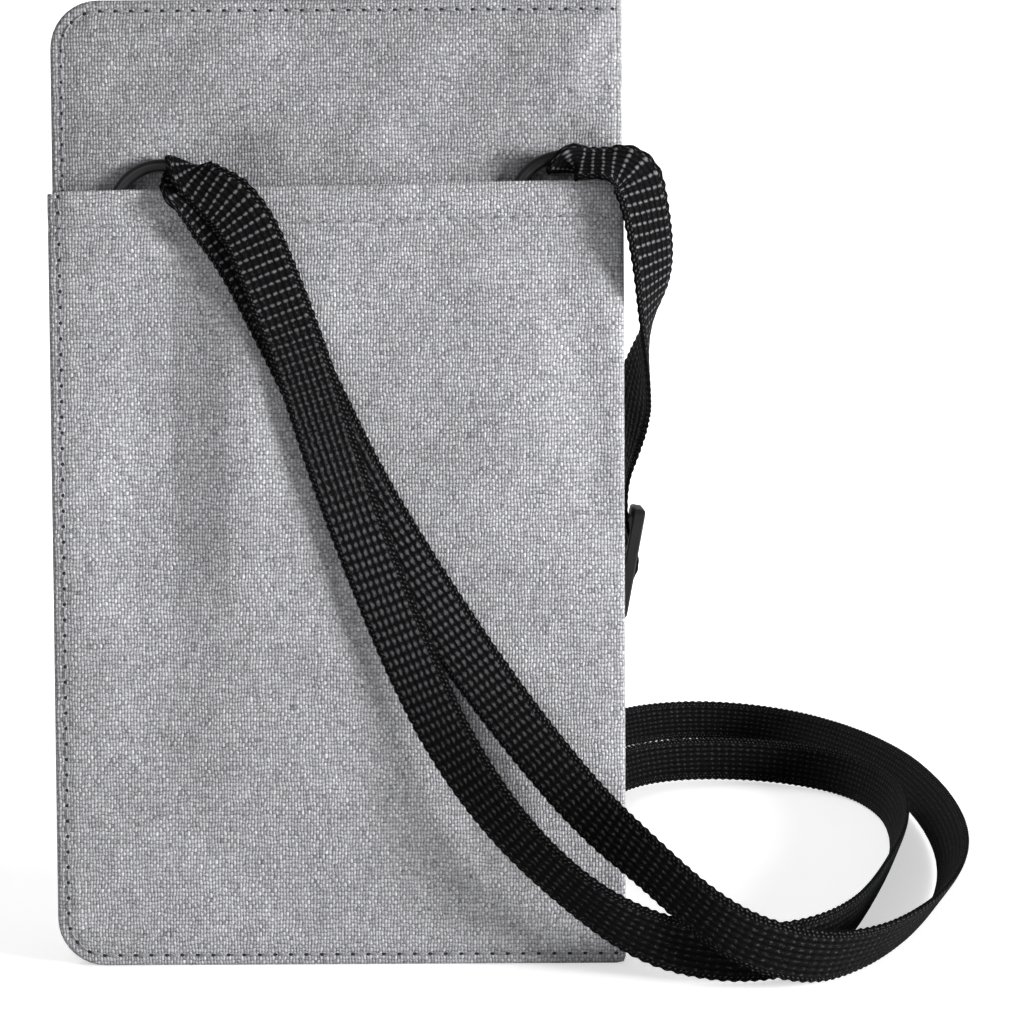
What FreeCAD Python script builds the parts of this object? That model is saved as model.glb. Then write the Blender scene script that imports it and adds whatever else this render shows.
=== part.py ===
import FreeCAD, Part

import math
import os

from FreeCAD import Vector

# Neck pouch wallet: a zip-around book of canvas-covered board, standing on its bottom edge.
# +Z is up, the slip pocket faces -Y, the folded spine is at +X, the free edge at -X.
# The origin is the middle of the footprint. All sizes are in millimetres.

# Outline of the closed wallet
pouch_width = 118.0
pouch_height = 200.0
pouch_depth = 22.0
free_corner_radius = 10.0

# Layers of a cover
canvas_thickness = 0.6
canvas_edge_rounding = 0.8
board_thickness = 1.4
lining_thickness = 0.6
board_inset = 1.5
lining_inset = 0.6

# Spine fold
spine_thickness = 2.6
spine_fold_radius = 1.8
fold_clearance = 0.2

# Slip pocket on the back
pocket_canvas_thickness = 0.5
pocket_depth = 5.2
pocket_mouth_low = 160.4
pocket_mouth_high = 162.4
hem_height = 7.0
hem_thickness = 0.5

# Strap rings in the pocket mouth, each in a webbing tab
ring_wire_diameter = 2.3
ring_wire_sides = 12
ring_radius = 10.3
ring_sunk = 5.3
left_ring_x = -35.5
right_ring_x = 46.8
ring_tilt = 3.5
tab_width = 7.0
tab_webbing = 0.6
tab_leg_length = 16.0
tab_clearance = 0.15
tab_slack = 0.1
tab_leg_start = 0.6

# Zip
zip_inset = 5.0
zip_tape_thickness = 0.6
zip_tape_gap = 2.0
zip_spine_gap = 1.0
tooth_pitch = 3.2
tooth_neck = 0.9
tooth_head = 1.2
tooth_tip = 0.7
tooth_height = 2.0
tooth_reach = 1.5
tooth_head_length = 1.0
first_tooth_place = 0.55
stop_length = 1.6
stop_reach = 0.8
slider_length = 11.0
slider_width = 8.6
slider_plate = 0.9
slider_mouth = 1.1
slider_clearance = 0.2
slider_flange = 0.9
slider_tail_narrowing = 0.9
slider_tail_bevel = (1.0, 1.2)
slider_nose_bevel = (1.6, 1.8)
slider_waist = 0.2
slider_channel_flare = 0.6
slider_post_thickness = 1.2
slider_post_length = 3.0
slider_post_inset = 0.4
slider_post_shoulder = 0.6
slider_post_tip = 0.7
bail_width = 2.2
bail_wire = 1.2
bail_inset = 2.2
bail_rounding = 0.9
pull_length = 22.0
pull_width = 6.0
pull_thickness = 1.2
pull_clearance = 0.25
pull_end_bevel = (2.5, 1.6)
pull_window_room = 0.6
grip_radius = 0.45
grip_lift = 0.15
grip_start = 12.0
grip_pitch = 2.0
grip_count = 4

# Inside pockets
inner_pocket_thickness = 0.5
inner_pocket_margin = 9.0
passport_pocket_height = 140.0
card_slot_heights = {"upper": 150.0, "middle": 118.0, "lower": 86.0}

# Strap and its slider
strap_width = 12.0
strap_thickness = 1.3
strap_width_in_ring = 8.0
strap_gather_start = 5.0
strap_gather_end = 16.0
strap_bend_share = 0.45
strap_arc_step = 25.0
glide_length = 24.5
glide_width = 17.0
glide_thickness = 2.6
glide_bar_thickness = 1.6
glide_corner_radius = 2.0
glide_bar = 2.5
glide_side = 2.0
glide_edge_bevel = 0.3
glide_place = (62.0, 30.0, 79.8)
glide_lean = 10.4

# Route of the strap: x, y, z, then the way its upper edge points, as a heading
# from +X towards +Y and a rise above level, in degrees.
strap_route = [
    # lapped end behind the right ring, round its wire
    (47.8, -7.9, 170.4, 180, 0),
    (47.5, -6.7, 167.8, 180, 0),
    (47.3, -6.7, 163.8, 180, 0),
    (47.3, -11.4, 163.8, 180, 0),
    (47.9, -12.0, 166.9, 180, 12),
    (50.0, -12.6, 169.2, 180, 45),
    (53.3, -12.9, 170.4, 180, 70),
    # over the spine edge and down beside it
    (57.3, -13.0, 169.8, 0, 80),
    (60.6, -13.1, 167.0, 0, 55),
    (63.0, -13.1, 162.2, 0, 25),
    (64.5, -12.6, 154.4, 0, 8),
    (65.8, -9.4, 145.0, 25, 5),
    (65.2, -2.0, 134.5, 55, 10),
    (63.4, 8.0, 124.5, 80, 20),
    (62.7, 19.5, 116.0, 85, 20),
    (62.4, 27.0, 107.5, 90, 5),
    (61.2, 30.0, 98.0, 90, 0),
    # through the strap slider and over its middle bar
    (61.0, 30.0, 88.3, 90, 0),
    (66.2, 30.0, 82.2, 90, 0),
    (65.4, 30.0, 76.6, 90, 0),
    (58.0, 30.0, 72.4, 90, 0),
    (57.3, 30.2, 64.2, 90, 0),
    # down behind the spine to the floor
    (58.4, 32.0, 52.0, 90, 5),
    (59.5, 37.0, 37.5, 90, 20),
    (60.0, 47.0, 23.0, 90, 40),
    (60.3, 62.0, 12.0, 90, 65),
    (60.8, 83.0, 6.7, 90, 85),
    (60.2, 108.0, 6.2, 180, 88),
    (61.2, 132.0, 6.2, 150, 85),
    # inner loop, standing on its edge
    (66.0, 152.0, 6.2, 120, 80),
    (79.0, 165.0, 6.2, 100, 78),
    (97.0, 168.0, 6.2, 85, 78),
    (116.0, 161.0, 6.2, 60, 76),
    (131.0, 145.0, 6.1, 35, 74),
    (137.0, 121.0, 6.0, 10, 72),
    (135.5, 93.0, 6.0, -10, 70),
    (129.5, 64.0, 5.9, -20, 68),
    (121.0, 37.0, 5.9, -30, 68),
    (113.0, 14.0, 5.9, -40, 68),
    (106.0, -3.0, 6.0, -50, 70),
    (97.0, -17.5, 6.2, -60, 78),
    (86.5, -23.8, 6.2, -75, 84),
    (75.5, -24.2, 6.4, -80, 84),
    # rising in front of the pocket to the left ring
    (62.5, -24.0, 9.4, -78, 72),
    (48.0, -23.5, 18.5, -60, 46),
    (34.0, -20.0, 31.5, -45, 37),
    (22.8, -17.0, 47.5, -30, 30),
    (14.5, -15.4, 65.0, -20, 25),
    (7.0, -14.8, 84.0, -15, 22),
    (0.2, -14.6, 103.0, -10, 20),
    (-5.6, -14.6, 122.0, -8, 18),
    (-11.4, -14.9, 137.5, -4, 24),
    (-16.2, -15.2, 146.2, 0, 34),
    (-21.2, -15.3, 152.4, 0, 41),
    (-26.4, -15.2, 157.2, 0, 44),
    (-31.0, -14.9, 160.9, 0, 38),
    (-34.3, -13.6, 164.9, 0, 18),
    # fold over the left ring's wire and the pocket edge
    (-35.5, -11.2, 168.0, 0, 0),
    (-35.5, -6.8, 168.0, 0, 0),
    (-35.4, -6.7, 163.2, 0, 0),
    (-35.4, -9.9, 162.2, 0, 0),
    (-35.4, -12.6, 161.9, 0, 2),
    (-35.0, -12.9, 158.5, 0, 12),
    # second strand, behind the first and crossing it
    (-33.0, -12.8, 154.2, 0, 28),
    (-29.0, -12.5, 149.8, 0, 37),
    (-23.0, -12.3, 143.8, 0, 38),
    (-15.6, -12.2, 134.0, 0, 34),
    (-5.5, -12.2, 118.5, 0, 28),
    (4.0, -12.5, 101.0, -5, 28),
    (14.5, -13.2, 83.5, -10, 30),
    (26.0, -14.4, 66.0, -15, 33),
    (38.5, -16.2, 49.0, -25, 38),
    (51.5, -18.9, 33.8, -32, 44),
    (62.5, -26.2, 25.4, -54, 60),
    (71.2, -29.7, 18.0, -72, 68),
    (79.5, -31.8, 12.4, -76, 74),
    (88.0, -32.0, 9.0, -78, 76),
    # outer loop, leaning outwards
    (97.0, -29.2, 6.8, -70, 70),
    (106.0, -21.5, 5.8, -60, 60),
    (115.5, -9.5, 5.5, -50, 56),
    (126.5, 10.0, 5.4, -38, 54),
    (137.0, 34.0, 5.4, -24, 54),
    (144.5, 60.0, 5.4, -14, 54),
    (149.0, 88.0, 5.5, -6, 56),
    (150.5, 120.0, 5.6, 6, 58),
    (148.5, 154.0, 5.8, 20, 62),
    (139.0, 190.0, 5.8, 40, 65),
    (120.5, 219.0, 5.9, 70, 68),
    (96.5, 231.5, 6.1, 100, 74),
    (73.0, 221.0, 6.2, 125, 80),
    (59.0, 195.0, 6.2, 150, 84),
    (55.6, 164.0, 6.2, 170, 88),
    (54.8, 133.0, 6.2, 180, 88),
    (55.4, 103.0, 6.6, 90, 85),
    (55.2, 76.0, 10.5, 90, 70),
    (55.6, 55.5, 22.0, 90, 48),
    (56.0, 42.5, 37.0, 90, 22),
    (56.3, 34.5, 52.0, 90, 5),
    (55.8, 30.6, 62.2, 90, 0),
    # sewn round the middle bar of the strap slider
    (55.9, 30.0, 70.6, 90, 0),
    (59.8, 30.0, 77.4, 90, 0),
    (60.8, 30.0, 82.7, 90, 0),
    (64.1, 30.0, 81.9, 90, 0),
    (63.4, 30.0, 78.5, 90, 0),
]

# Worked-out places
half_width = pouch_width / 2
half_depth = pouch_depth / 2
cover_thickness = canvas_thickness + board_thickness + lining_thickness
back_cover_face = -half_depth + pocket_depth
back_cover_inside = back_cover_face + cover_thickness
front_cover_inside = half_depth - cover_thickness
zip_middle = (back_cover_inside + front_cover_inside) / 2
front_cover_edge = half_width - spine_thickness - fold_clearance
inner_left = -half_width + inner_pocket_margin
inner_right = front_cover_edge - inner_pocket_margin


def box(low, high):
    """Box between two opposite corners."""
    size = [high[i] - low[i] for i in range(3)]
    return Part.makeBox(size[0], size[1], size[2], Vector(*low))


def book_outline(inset, right, radius, low=0.0, high=pouch_height):
    """Wire in the XZ plane: straight at the spine side, rounded at the two free corners."""
    left = -half_width + inset
    bottom = low + inset
    top = high - inset
    r = max(radius - inset, 0.3)
    k = r * (1 - math.sqrt(0.5))
    lower_left = (Vector(left + r, 0, bottom), Vector(left + k, 0, bottom + k), Vector(left, 0, bottom + r))
    upper_left = (Vector(left, 0, top - r), Vector(left + k, 0, top - k), Vector(left + r, 0, top))
    edges = [
        Part.makeLine(Vector(right, 0, bottom), lower_left[0]),
        Part.Arc(*lower_left).toShape(),
        Part.makeLine(lower_left[2], upper_left[0]),
        Part.Arc(*upper_left).toShape(),
        Part.makeLine(upper_left[2], Vector(right, 0, top)),
        Part.makeLine(Vector(right, 0, top), Vector(right, 0, bottom)),
    ]
    return Part.Wire(edges)


def book_plate(inset, right, y_low, y_high):
    """Flat layer of a cover, from one depth to another."""
    face = Part.Face(book_outline(inset, right, free_corner_radius))
    plate = face.extrude(Vector(0, y_high - y_low, 0))
    plate.translate(Vector(0, y_low, 0))
    return plate


def prism(points, direction):
    """Straight prism on a closed outline of points."""
    corners = [Vector(*p) for p in points]
    return Part.Face(Part.makePolygon(corners + corners[:1])).extrude(Vector(*direction))


def back_cover():
    """Canvas, board and lining that carry the slip pocket."""
    canvas_back = back_cover_face + canvas_thickness
    board_back = canvas_back + board_thickness
    spine_inside = half_width - spine_thickness
    canvas = book_plate(0, half_width, back_cover_face, canvas_back)
    spine_edges = [e for e in canvas.Edges
                   if abs(e.CenterOfMass.x - half_width) < 0.01
                   and abs(e.CenterOfMass.y - back_cover_face) < 0.01]
    canvas = canvas.makeFillet(canvas_thickness * canvas_edge_rounding, spine_edges)
    board = book_plate(board_inset, spine_inside - board_inset, canvas_back, board_back)
    lining = book_plate(lining_inset, spine_inside, board_back, back_cover_inside)
    return canvas, board, lining


def front_cover():
    """Lining, board and canvas that swing open about the spine fold."""
    lining_front = front_cover_inside + lining_thickness
    board_front = lining_front + board_thickness
    canvas = book_plate(0, front_cover_edge, board_front, half_depth)
    board = book_plate(board_inset, front_cover_edge - board_inset, lining_front, board_front)
    lining = book_plate(lining_inset, front_cover_edge, front_cover_inside, lining_front)
    return canvas, board, lining


def spine():
    """Folded canvas strip from the back cover to the front fold."""
    back = back_cover_face + canvas_thickness
    front = half_depth - fold_clearance / 2
    strip = box((half_width - spine_thickness, back, 0), (half_width, front, pouch_height))
    fold = [e for e in strip.Edges
            if abs(e.CenterOfMass.x - half_width) < 0.01 and abs(e.CenterOfMass.y - front) < 0.01]
    return strip.makeFillet(spine_fold_radius, fold)


def pocket_side(thickness, inset, y_low, y_high):
    """Pocket canvas cut to the sloping mouth."""
    plate = book_plate(inset, half_width - inset, y_low, y_high)
    above = prism([
        (-half_width - 1, y_low - 1, pocket_mouth_low),
        (half_width + 1, y_low - 1, pocket_mouth_high),
        (half_width + 1, y_low - 1, pouch_height + 1),
        (-half_width - 1, y_low - 1, pouch_height + 1),
    ], (0, y_high - y_low + 2, 0))
    return plate.cut(above)


def slip_pocket():
    """Shallow canvas tray, open at the top, with its hem turned inside."""
    outer = pocket_side(pocket_canvas_thickness, 0, -half_depth, back_cover_face)
    hem_back = -half_depth + pocket_canvas_thickness
    left = -half_width + pocket_canvas_thickness
    right = half_width - pocket_canvas_thickness
    hollow = book_plate(pocket_canvas_thickness, right, hem_back, back_cover_face + 1)
    upper = box((left, hem_back, pouch_height / 2), (right, back_cover_face + 1, pouch_height))
    panel = outer.cut(hollow.fuse(upper))
    slope = pocket_mouth_high - pocket_mouth_low
    rise = slope * pocket_canvas_thickness / pouch_width
    hem = prism([
        (left, hem_back, pocket_mouth_low + rise - hem_height),
        (right, hem_back, pocket_mouth_high - rise - hem_height),
        (right, hem_back, pocket_mouth_high - rise),
        (left, hem_back, pocket_mouth_low + rise),
    ], (0, hem_thickness, 0))
    return panel, hem


def ring_height(x):
    """Height of a ring's centre, a little below the sloping pocket mouth."""
    slope = (pocket_mouth_high - pocket_mouth_low) / pouch_width
    return pocket_mouth_low + slope * (x + half_width) - ring_sunk


def ring_bottom_depth():
    """Depth of the ring wire where the tab holds it."""
    return back_cover_face - ring_wire_diameter / 2 - tab_clearance - tab_webbing


def ring(x):
    """Wire ring leaning forward out of the pocket: its many-sided section turned about the ring's axis."""
    section = []
    for i in range(ring_wire_sides):
        angle = 2 * math.pi * (i + 0.5) / ring_wire_sides
        section.append(Vector(ring_radius + ring_wire_diameter / 2 * math.cos(angle),
                              ring_wire_diameter / 2 * math.sin(angle), 0))
    face = Part.Face(Part.makePolygon(section + section[:1]))
    hoop = face.revolve(Vector(0, 0, 0), Vector(0, 1, 0), 360)
    hoop.translate(Vector(0, 0, ring_radius))
    hoop.rotate(Vector(0, 0, 0), Vector(1, 0, 0), ring_tilt)
    hoop.translate(Vector(x, ring_bottom_depth(), ring_height(x) - ring_radius))
    return hoop


def ring_tab(x):
    """Webbing folded round the ring's lowest wire and sewn flat to the back cover."""
    y = ring_bottom_depth()
    z_low = ring_height(x) - ring_radius
    hole = ring_wire_diameter / 2 + tab_clearance
    outside = hole + tab_webbing
    rise = ring_radius - math.sqrt(ring_radius ** 2 - (tab_width / 2) ** 2) + tab_slack
    left = x - tab_width / 2

    def slot(radius):
        lower = Part.makeCylinder(radius, tab_width, Vector(left, y, z_low), Vector(1, 0, 0))
        upper = Part.makeCylinder(radius, tab_width, Vector(left, y, z_low + rise), Vector(1, 0, 0))
        middle = box((left, y - radius, z_low), (left + tab_width, y + radius, z_low + rise))
        return lower.fuse([upper, middle])

    leg_top = z_low - hole * tab_leg_start
    leg_bottom = leg_top - tab_leg_length
    legs = box((left, back_cover_face - 2 * tab_webbing, leg_bottom),
               (left + tab_width, back_cover_face, leg_top))
    back = box((left, back_cover_face - tab_webbing, leg_top), (left + tab_width, back_cover_face, z_low))
    return slot(outside).fuse([legs, back]).cut(slot(hole)).removeSplitter()


def zip_tape(y_low, y_high):
    """Tape standing on edge round the top, the free side and the bottom."""
    half = zip_tape_thickness / 2
    right = half_width - spine_thickness - zip_spine_gap
    band = book_plate(zip_inset - half, right, y_low, y_high)
    inside = book_plate(zip_inset + half, right + 1, y_low - 1, y_high + 1)
    return band.cut(inside)


def tooth(side):
    """One moulded tooth: a neck from the tape edge and a wider head that narrows to its nose."""
    start = zip_tape_gap / 2
    nose = start - tooth_reach
    head_back = nose + tooth_head_length
    neck = tooth_neck / 2
    head = tooth_head / 2
    tip = tooth_tip / 2
    outline = [
        (-neck, side * start, 0),
        (-neck, side * head_back, 0),
        (-head, side * head_back, 0),
        (-tip, side * nose, 0),
        (tip, side * nose, 0),
        (head, side * head_back, 0),
        (neck, side * head_back, 0),
        (neck, side * start, 0),
    ]
    solid = prism(outline, (0, 0, tooth_height))
    solid.translate(Vector(0, 0, -tooth_height / 2))
    return solid


def zip_station(distance):
    """Place and turn on the zip line, measured from its top end near the spine."""
    left = -half_width + zip_inset
    top = pouch_height - zip_inset
    r = free_corner_radius - zip_inset
    start = half_width - spine_thickness - zip_spine_gap - stop_length
    straight_top = start - (left + r)
    arc = r * math.pi / 2
    straight_side = pouch_height - 2 * zip_inset - 2 * r
    if distance < straight_top:
        return Vector(start - distance, 0, top), 0.0
    distance -= straight_top
    if distance < arc:
        a = distance / r
        return Vector(left + r - r * math.sin(a), 0, top - r + r * math.cos(a)), math.degrees(a)
    distance -= arc
    if distance < straight_side:
        return Vector(left, 0, top - r - distance), 90.0
    distance -= straight_side
    if distance < arc:
        a = distance / r
        return Vector(left + r - r * math.cos(a), 0, zip_inset + r - r * math.sin(a)), 90 + math.degrees(a)
    return Vector(left + r + distance - arc, 0, zip_inset), 180.0


def zip_length():
    """Length of the zip line between its end stops."""
    start = half_width - spine_thickness - zip_spine_gap - stop_length
    r = free_corner_radius - zip_inset
    left = -half_width + zip_inset
    return 2 * (start - left - r) + math.pi * r + pouch_height - 2 * zip_inset - 2 * r


def on_zip_line(shape, distance):
    """The shape set on the zip line, square to it."""
    place, turn = zip_station(distance)
    placed = shape.copy()
    placed.rotate(Vector(0, 0, 0), Vector(0, 1, 0), -turn)
    placed.translate(place + Vector(0, zip_middle, 0))
    return placed


def zip_teeth(side):
    """All teeth of one tape, half a pitch away from the other tape's, and its two end stops."""
    first = slider_length * first_tooth_place + (tooth_pitch / 2 if side > 0 else 0)
    last = zip_length() - stop_length
    count = int((last - first) / tooth_pitch)
    solids = [on_zip_line(tooth(side), first + i * tooth_pitch) for i in range(count)]
    near = side * zip_tape_gap / 2
    far = side * (zip_tape_gap / 2 - stop_reach)
    stop = box((-stop_length / 2, min(near, far), -tooth_height / 2),
               (stop_length / 2, max(near, far), tooth_height / 2))
    ends = [-stop_length / 2, zip_length() + stop_length / 2]
    solids += [on_zip_line(stop, distance) for distance in ends]
    return Part.makeCompound(solids)


def slider_centre():
    """Middle of the zip slider, closed against the top end stops."""
    right = half_width - spine_thickness - zip_spine_gap - stop_length
    return Vector(right - slider_clearance - slider_length / 2, zip_middle, pouch_height - zip_inset)


def zip_slider():
    """Two plates joined by a post, with side flanges, and a bail on the upper plate."""
    gap = tooth_height / 2 + slider_clearance
    long = slider_length / 2
    tail = slider_width / 2 - slider_tail_narrowing
    nose = slider_width / 2
    waist = nose - slider_waist
    tail_run, tail_step = slider_tail_bevel
    nose_run, nose_step = slider_nose_bevel
    outline = [
        (-long + tail_run, -tail, 0), (-long, -tail + tail_step, 0),
        (-long, tail - tail_step, 0), (-long + tail_run, tail, 0),
        (0, waist, 0), (long - nose_run, nose, 0),
        (long, nose - nose_step, 0), (long, -nose + nose_step, 0),
        (long - nose_run, -nose, 0), (0, -waist, 0),
    ]
    block = prism(outline, (0, 0, 2 * (gap + slider_plate)))
    block.translate(Vector(0, 0, -gap - slider_plate))
    channel_tail = tail - slider_flange
    channel_nose = nose - slider_flange + slider_channel_flare
    channel = prism([
        (-long - 1, -channel_tail, 0), (0, -channel_tail, 0), (long + 1, -channel_nose, 0),
        (long + 1, channel_nose, 0), (0, channel_tail, 0), (-long - 1, channel_tail, 0),
    ], (0, 0, 2 * gap))
    channel.translate(Vector(0, 0, -gap))
    slot = box((-long - 1, -slider_width, -slider_mouth / 2), (long + 1, slider_width, slider_mouth / 2))
    body = block.cut(channel.fuse(slot))
    post_high = long - slider_post_inset
    post_low = post_high - slider_post_length
    shoulder = post_low + slider_post_length * slider_post_shoulder
    half_post = slider_post_thickness / 2
    half_tip = half_post * slider_post_tip
    post = prism([
        (post_low, 0, 0), (shoulder, half_post, 0), (post_high, half_tip, 0),
        (post_high, -half_tip, 0), (shoulder, -half_post, 0),
    ], (0, 0, 2 * gap + slider_plate))
    post.translate(Vector(0, 0, -gap - slider_plate / 2))
    top = gap + slider_plate
    eye = pull_thickness / 2 + pull_clearance
    arch_height = 2 * eye + bail_wire
    foot = long - bail_inset
    arch = box((-foot, -bail_width / 2, top), (foot, bail_width / 2, top + arch_height))
    window = box((-foot + bail_wire, -bail_width, top), (foot - bail_wire, bail_width, top + 2 * eye))
    crown = [e for e in arch.Edges
             if abs(e.CenterOfMass.z - top - arch_height) < 0.01 and abs(e.CenterOfMass.y) < 0.01]
    arch = arch.makeFillet(bail_wire * bail_rounding, crown)
    body = body.fuse([post, arch.cut(window)]).removeSplitter()
    body.translate(slider_centre())
    return body


def pull_pivot():
    """Middle of the pull's cross bar, inside the bail."""
    top = tooth_height / 2 + slider_clearance + slider_plate
    return slider_centre() + Vector(0, 0, top + pull_thickness / 2 + pull_clearance)


def zip_pull():
    """Flat pull with a round cross bar that turns in the bail."""
    bar = pull_thickness / 2
    half = pull_width / 2
    end_run, end_step = pull_end_bevel
    tail = prism([
        (0.0, -half, 0), (-pull_length + end_run, -half, 0), (-pull_length, -half + end_step, 0),
        (-pull_length, half - end_step, 0), (-pull_length + end_run, half, 0), (0.0, half, 0),
    ], (0, 0, pull_thickness))
    tail.translate(Vector(0, 0, -pull_thickness / 2))
    slot = bail_width / 2 + pull_clearance
    reach = slider_length / 2 + pull_window_room
    window = box((-reach, -slot, -pull_thickness), (-bar, slot, pull_thickness))
    grip = []
    for i in range(grip_count):
        start = Vector(-grip_start - i * grip_pitch, -half, pull_thickness / 2 + grip_lift)
        grip.append(Part.makeCylinder(grip_radius, pull_width, start, Vector(0, 1, 0)))
    cross = Part.makeCylinder(bar, pull_width, Vector(0, -half, 0), Vector(0, 1, 0))
    pull = tail.cut(window).cut(Part.makeCompound(grip)).fuse(cross).removeSplitter()
    pull.translate(pull_pivot())
    return pull


def inner_pockets():
    """Passport pocket on the back lining and three stepped card slots on the front lining."""
    low = inner_pocket_margin
    passport = box((inner_left, back_cover_inside, low),
                   (inner_right, back_cover_inside + inner_pocket_thickness, low + passport_pocket_height))
    pockets = {"passport_pocket_panel": passport}
    front = front_cover_inside
    for name, height in card_slot_heights.items():
        panel = box((inner_left, front - inner_pocket_thickness, low), (inner_right, front, low + height))
        pockets["card_slot_" + name] = panel
        front -= inner_pocket_thickness
    return pockets


def strap_glide():
    """Flat frame with one bar across its middle, leaning with the strap."""
    half = glide_length / 2
    wide = glide_width / 2
    thick = glide_thickness / 2
    bar = glide_bar / 2
    frame = box((-thick, -wide, -half), (thick, wide, half))
    frame = frame.makeFillet(glide_corner_radius, [e for e in frame.Edges if abs(e.CenterOfMass.x) < 0.01])
    slot_height = half - glide_bar - bar
    for side in (1, -1):
        middle = side * (bar + slot_height / 2)
        opening = box((-thick - 1, -wide + glide_side, middle - slot_height / 2),
                      (thick + 1, wide - glide_side, middle + slot_height / 2))
        frame = frame.cut(opening)
        near = side * glide_bar_thickness / 2
        far = side * thick
        relief = box((min(near, far), -wide + glide_side, -bar), (max(near, far), wide - glide_side, bar))
        frame = frame.cut(relief)
    rims = [e for e in frame.Edges if abs(abs(e.CenterOfMass.x) - thick) < 0.01]
    frame = frame.makeChamfer(glide_edge_bevel, rims)
    frame.rotate(Vector(0, 0, 0), Vector(0, 1, 0), glide_lean)
    frame.translate(Vector(*glide_place))
    return frame


def edge_direction(row):
    """Unit vector from a heading and a rise."""
    heading = math.radians(row[3])
    rise = math.radians(row[4])
    return Vector(math.cos(heading) * math.cos(rise), math.sin(heading) * math.cos(rise), math.sin(rise))


def strap_stations(route):
    """Centre, direction and upper-edge direction along straight runs and tangent arcs."""
    points = [Vector(*row[:3]) for row in route]
    edges = [edge_direction(row) for row in route]
    runs = [(points[i + 1] - points[i]).Length for i in range(len(points) - 1)]
    ways = [(points[i + 1] - points[i]).normalize() for i in range(len(points) - 1)]
    stations = [(points[0], ways[0], edges[0])]
    radii = []
    length = 0.0
    used = 0.0
    for i in range(1, len(points) - 1):
        turn = ways[i - 1].getAngle(ways[i])
        reach = strap_bend_share * min(runs[i - 1], runs[i])
        radius = reach / math.tan(turn / 2)
        radii.append(radius)
        bend = (ways[i] - ways[i - 1]).normalize()
        centre = points[i] + bend * (radius / math.cos(turn / 2))
        axis = ways[i - 1].cross(ways[i]).normalize()
        start = points[i] - ways[i - 1] * reach - centre
        steps = max(1, math.ceil(math.degrees(turn) / strap_arc_step))
        length += runs[i - 1] - used - reach + radius * turn
        used = reach
        for k in range(steps + 1):
            rotation = FreeCAD.Rotation(axis, math.degrees(turn) * k / steps)
            along = reach * (2 * k / steps - 1)
            neighbour = i + 1 if along > 0 else i - 1
            share = abs(along) / (runs[i] if along > 0 else runs[i - 1])
            edge = edges[i] * (1 - share) + edges[neighbour] * share
            stations.append((centre + rotation.multVec(start), rotation.multVec(ways[i - 1]), edge))
    length += runs[-1] - used
    stations.append((points[-1], ways[-1], edges[-1]))
    return stations, radii, length


def gathered_width(point):
    """Width of the webbing, drawn together where it passes through a ring."""
    reach = min((point - Vector(x, point.y, ring_height(x) + ring_radius)).Length
                for x in (left_ring_x, right_ring_x))
    share = (reach - strap_gather_start) / (strap_gather_end - strap_gather_start)
    share = min(1.0, max(0.0, share))
    return strap_width_in_ring + (strap_width - strap_width_in_ring) * share


def strap():
    """One flat strip of webbing lofted along its route."""
    stations, radii, length = strap_stations(strap_route)
    wires = []
    for centre, way, edge in stations:
        edge = (edge - way * edge.dot(way)).normalize()
        up = edge * (gathered_width(centre) / 2)
        out = way.cross(edge) * (strap_thickness / 2)
        corners = [centre + up + out, centre + up - out, centre - up - out, centre - up + out]
        wires.append(Part.makePolygon(corners + corners[:1]))
    solid = Part.makeLoft(wires, True, True)
    print("strap radii:", [round(r, 1) for r in radii])
    print("strap length:", round(length, 1), "volume:", round(solid.Volume),
          "section x length:", round(strap_width * strap_thickness * length))
    return solid


def main():
    os.makedirs("parts", exist_ok=True)
    nodes = {}
    nodes["back_cover_canvas"], nodes["back_cover_board"], nodes["back_cover_lining"] = back_cover()
    nodes["front_cover_canvas"], nodes["front_cover_board"], nodes["front_cover_lining"] = front_cover()
    nodes["spine_canvas"] = spine()
    nodes["slip_pocket_panel"], nodes["slip_pocket_hem"] = slip_pocket()
    nodes["left_ring"] = ring(left_ring_x)
    nodes["right_ring"] = ring(right_ring_x)
    nodes["left_ring_tab"] = ring_tab(left_ring_x)
    nodes["right_ring_tab"] = ring_tab(right_ring_x)
    nodes["zip_tape_back"] = zip_tape(back_cover_inside, zip_middle - zip_tape_gap / 2)
    nodes["zip_tape_front"] = zip_tape(zip_middle + zip_tape_gap / 2, front_cover_inside)
    nodes["zip_teeth_back"] = zip_teeth(-1)
    nodes["zip_teeth_front"] = zip_teeth(1)
    nodes["zip_slider_body"] = zip_slider()
    nodes["zip_pull_tab"] = zip_pull()
    nodes.update(inner_pockets())
    nodes["strap_slider"] = strap_glide()
    nodes["neck_strap"] = strap()
    for name, shape in nodes.items():
        shape.exportStep("parts/" + name + ".step")


main()
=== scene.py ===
import math

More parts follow.
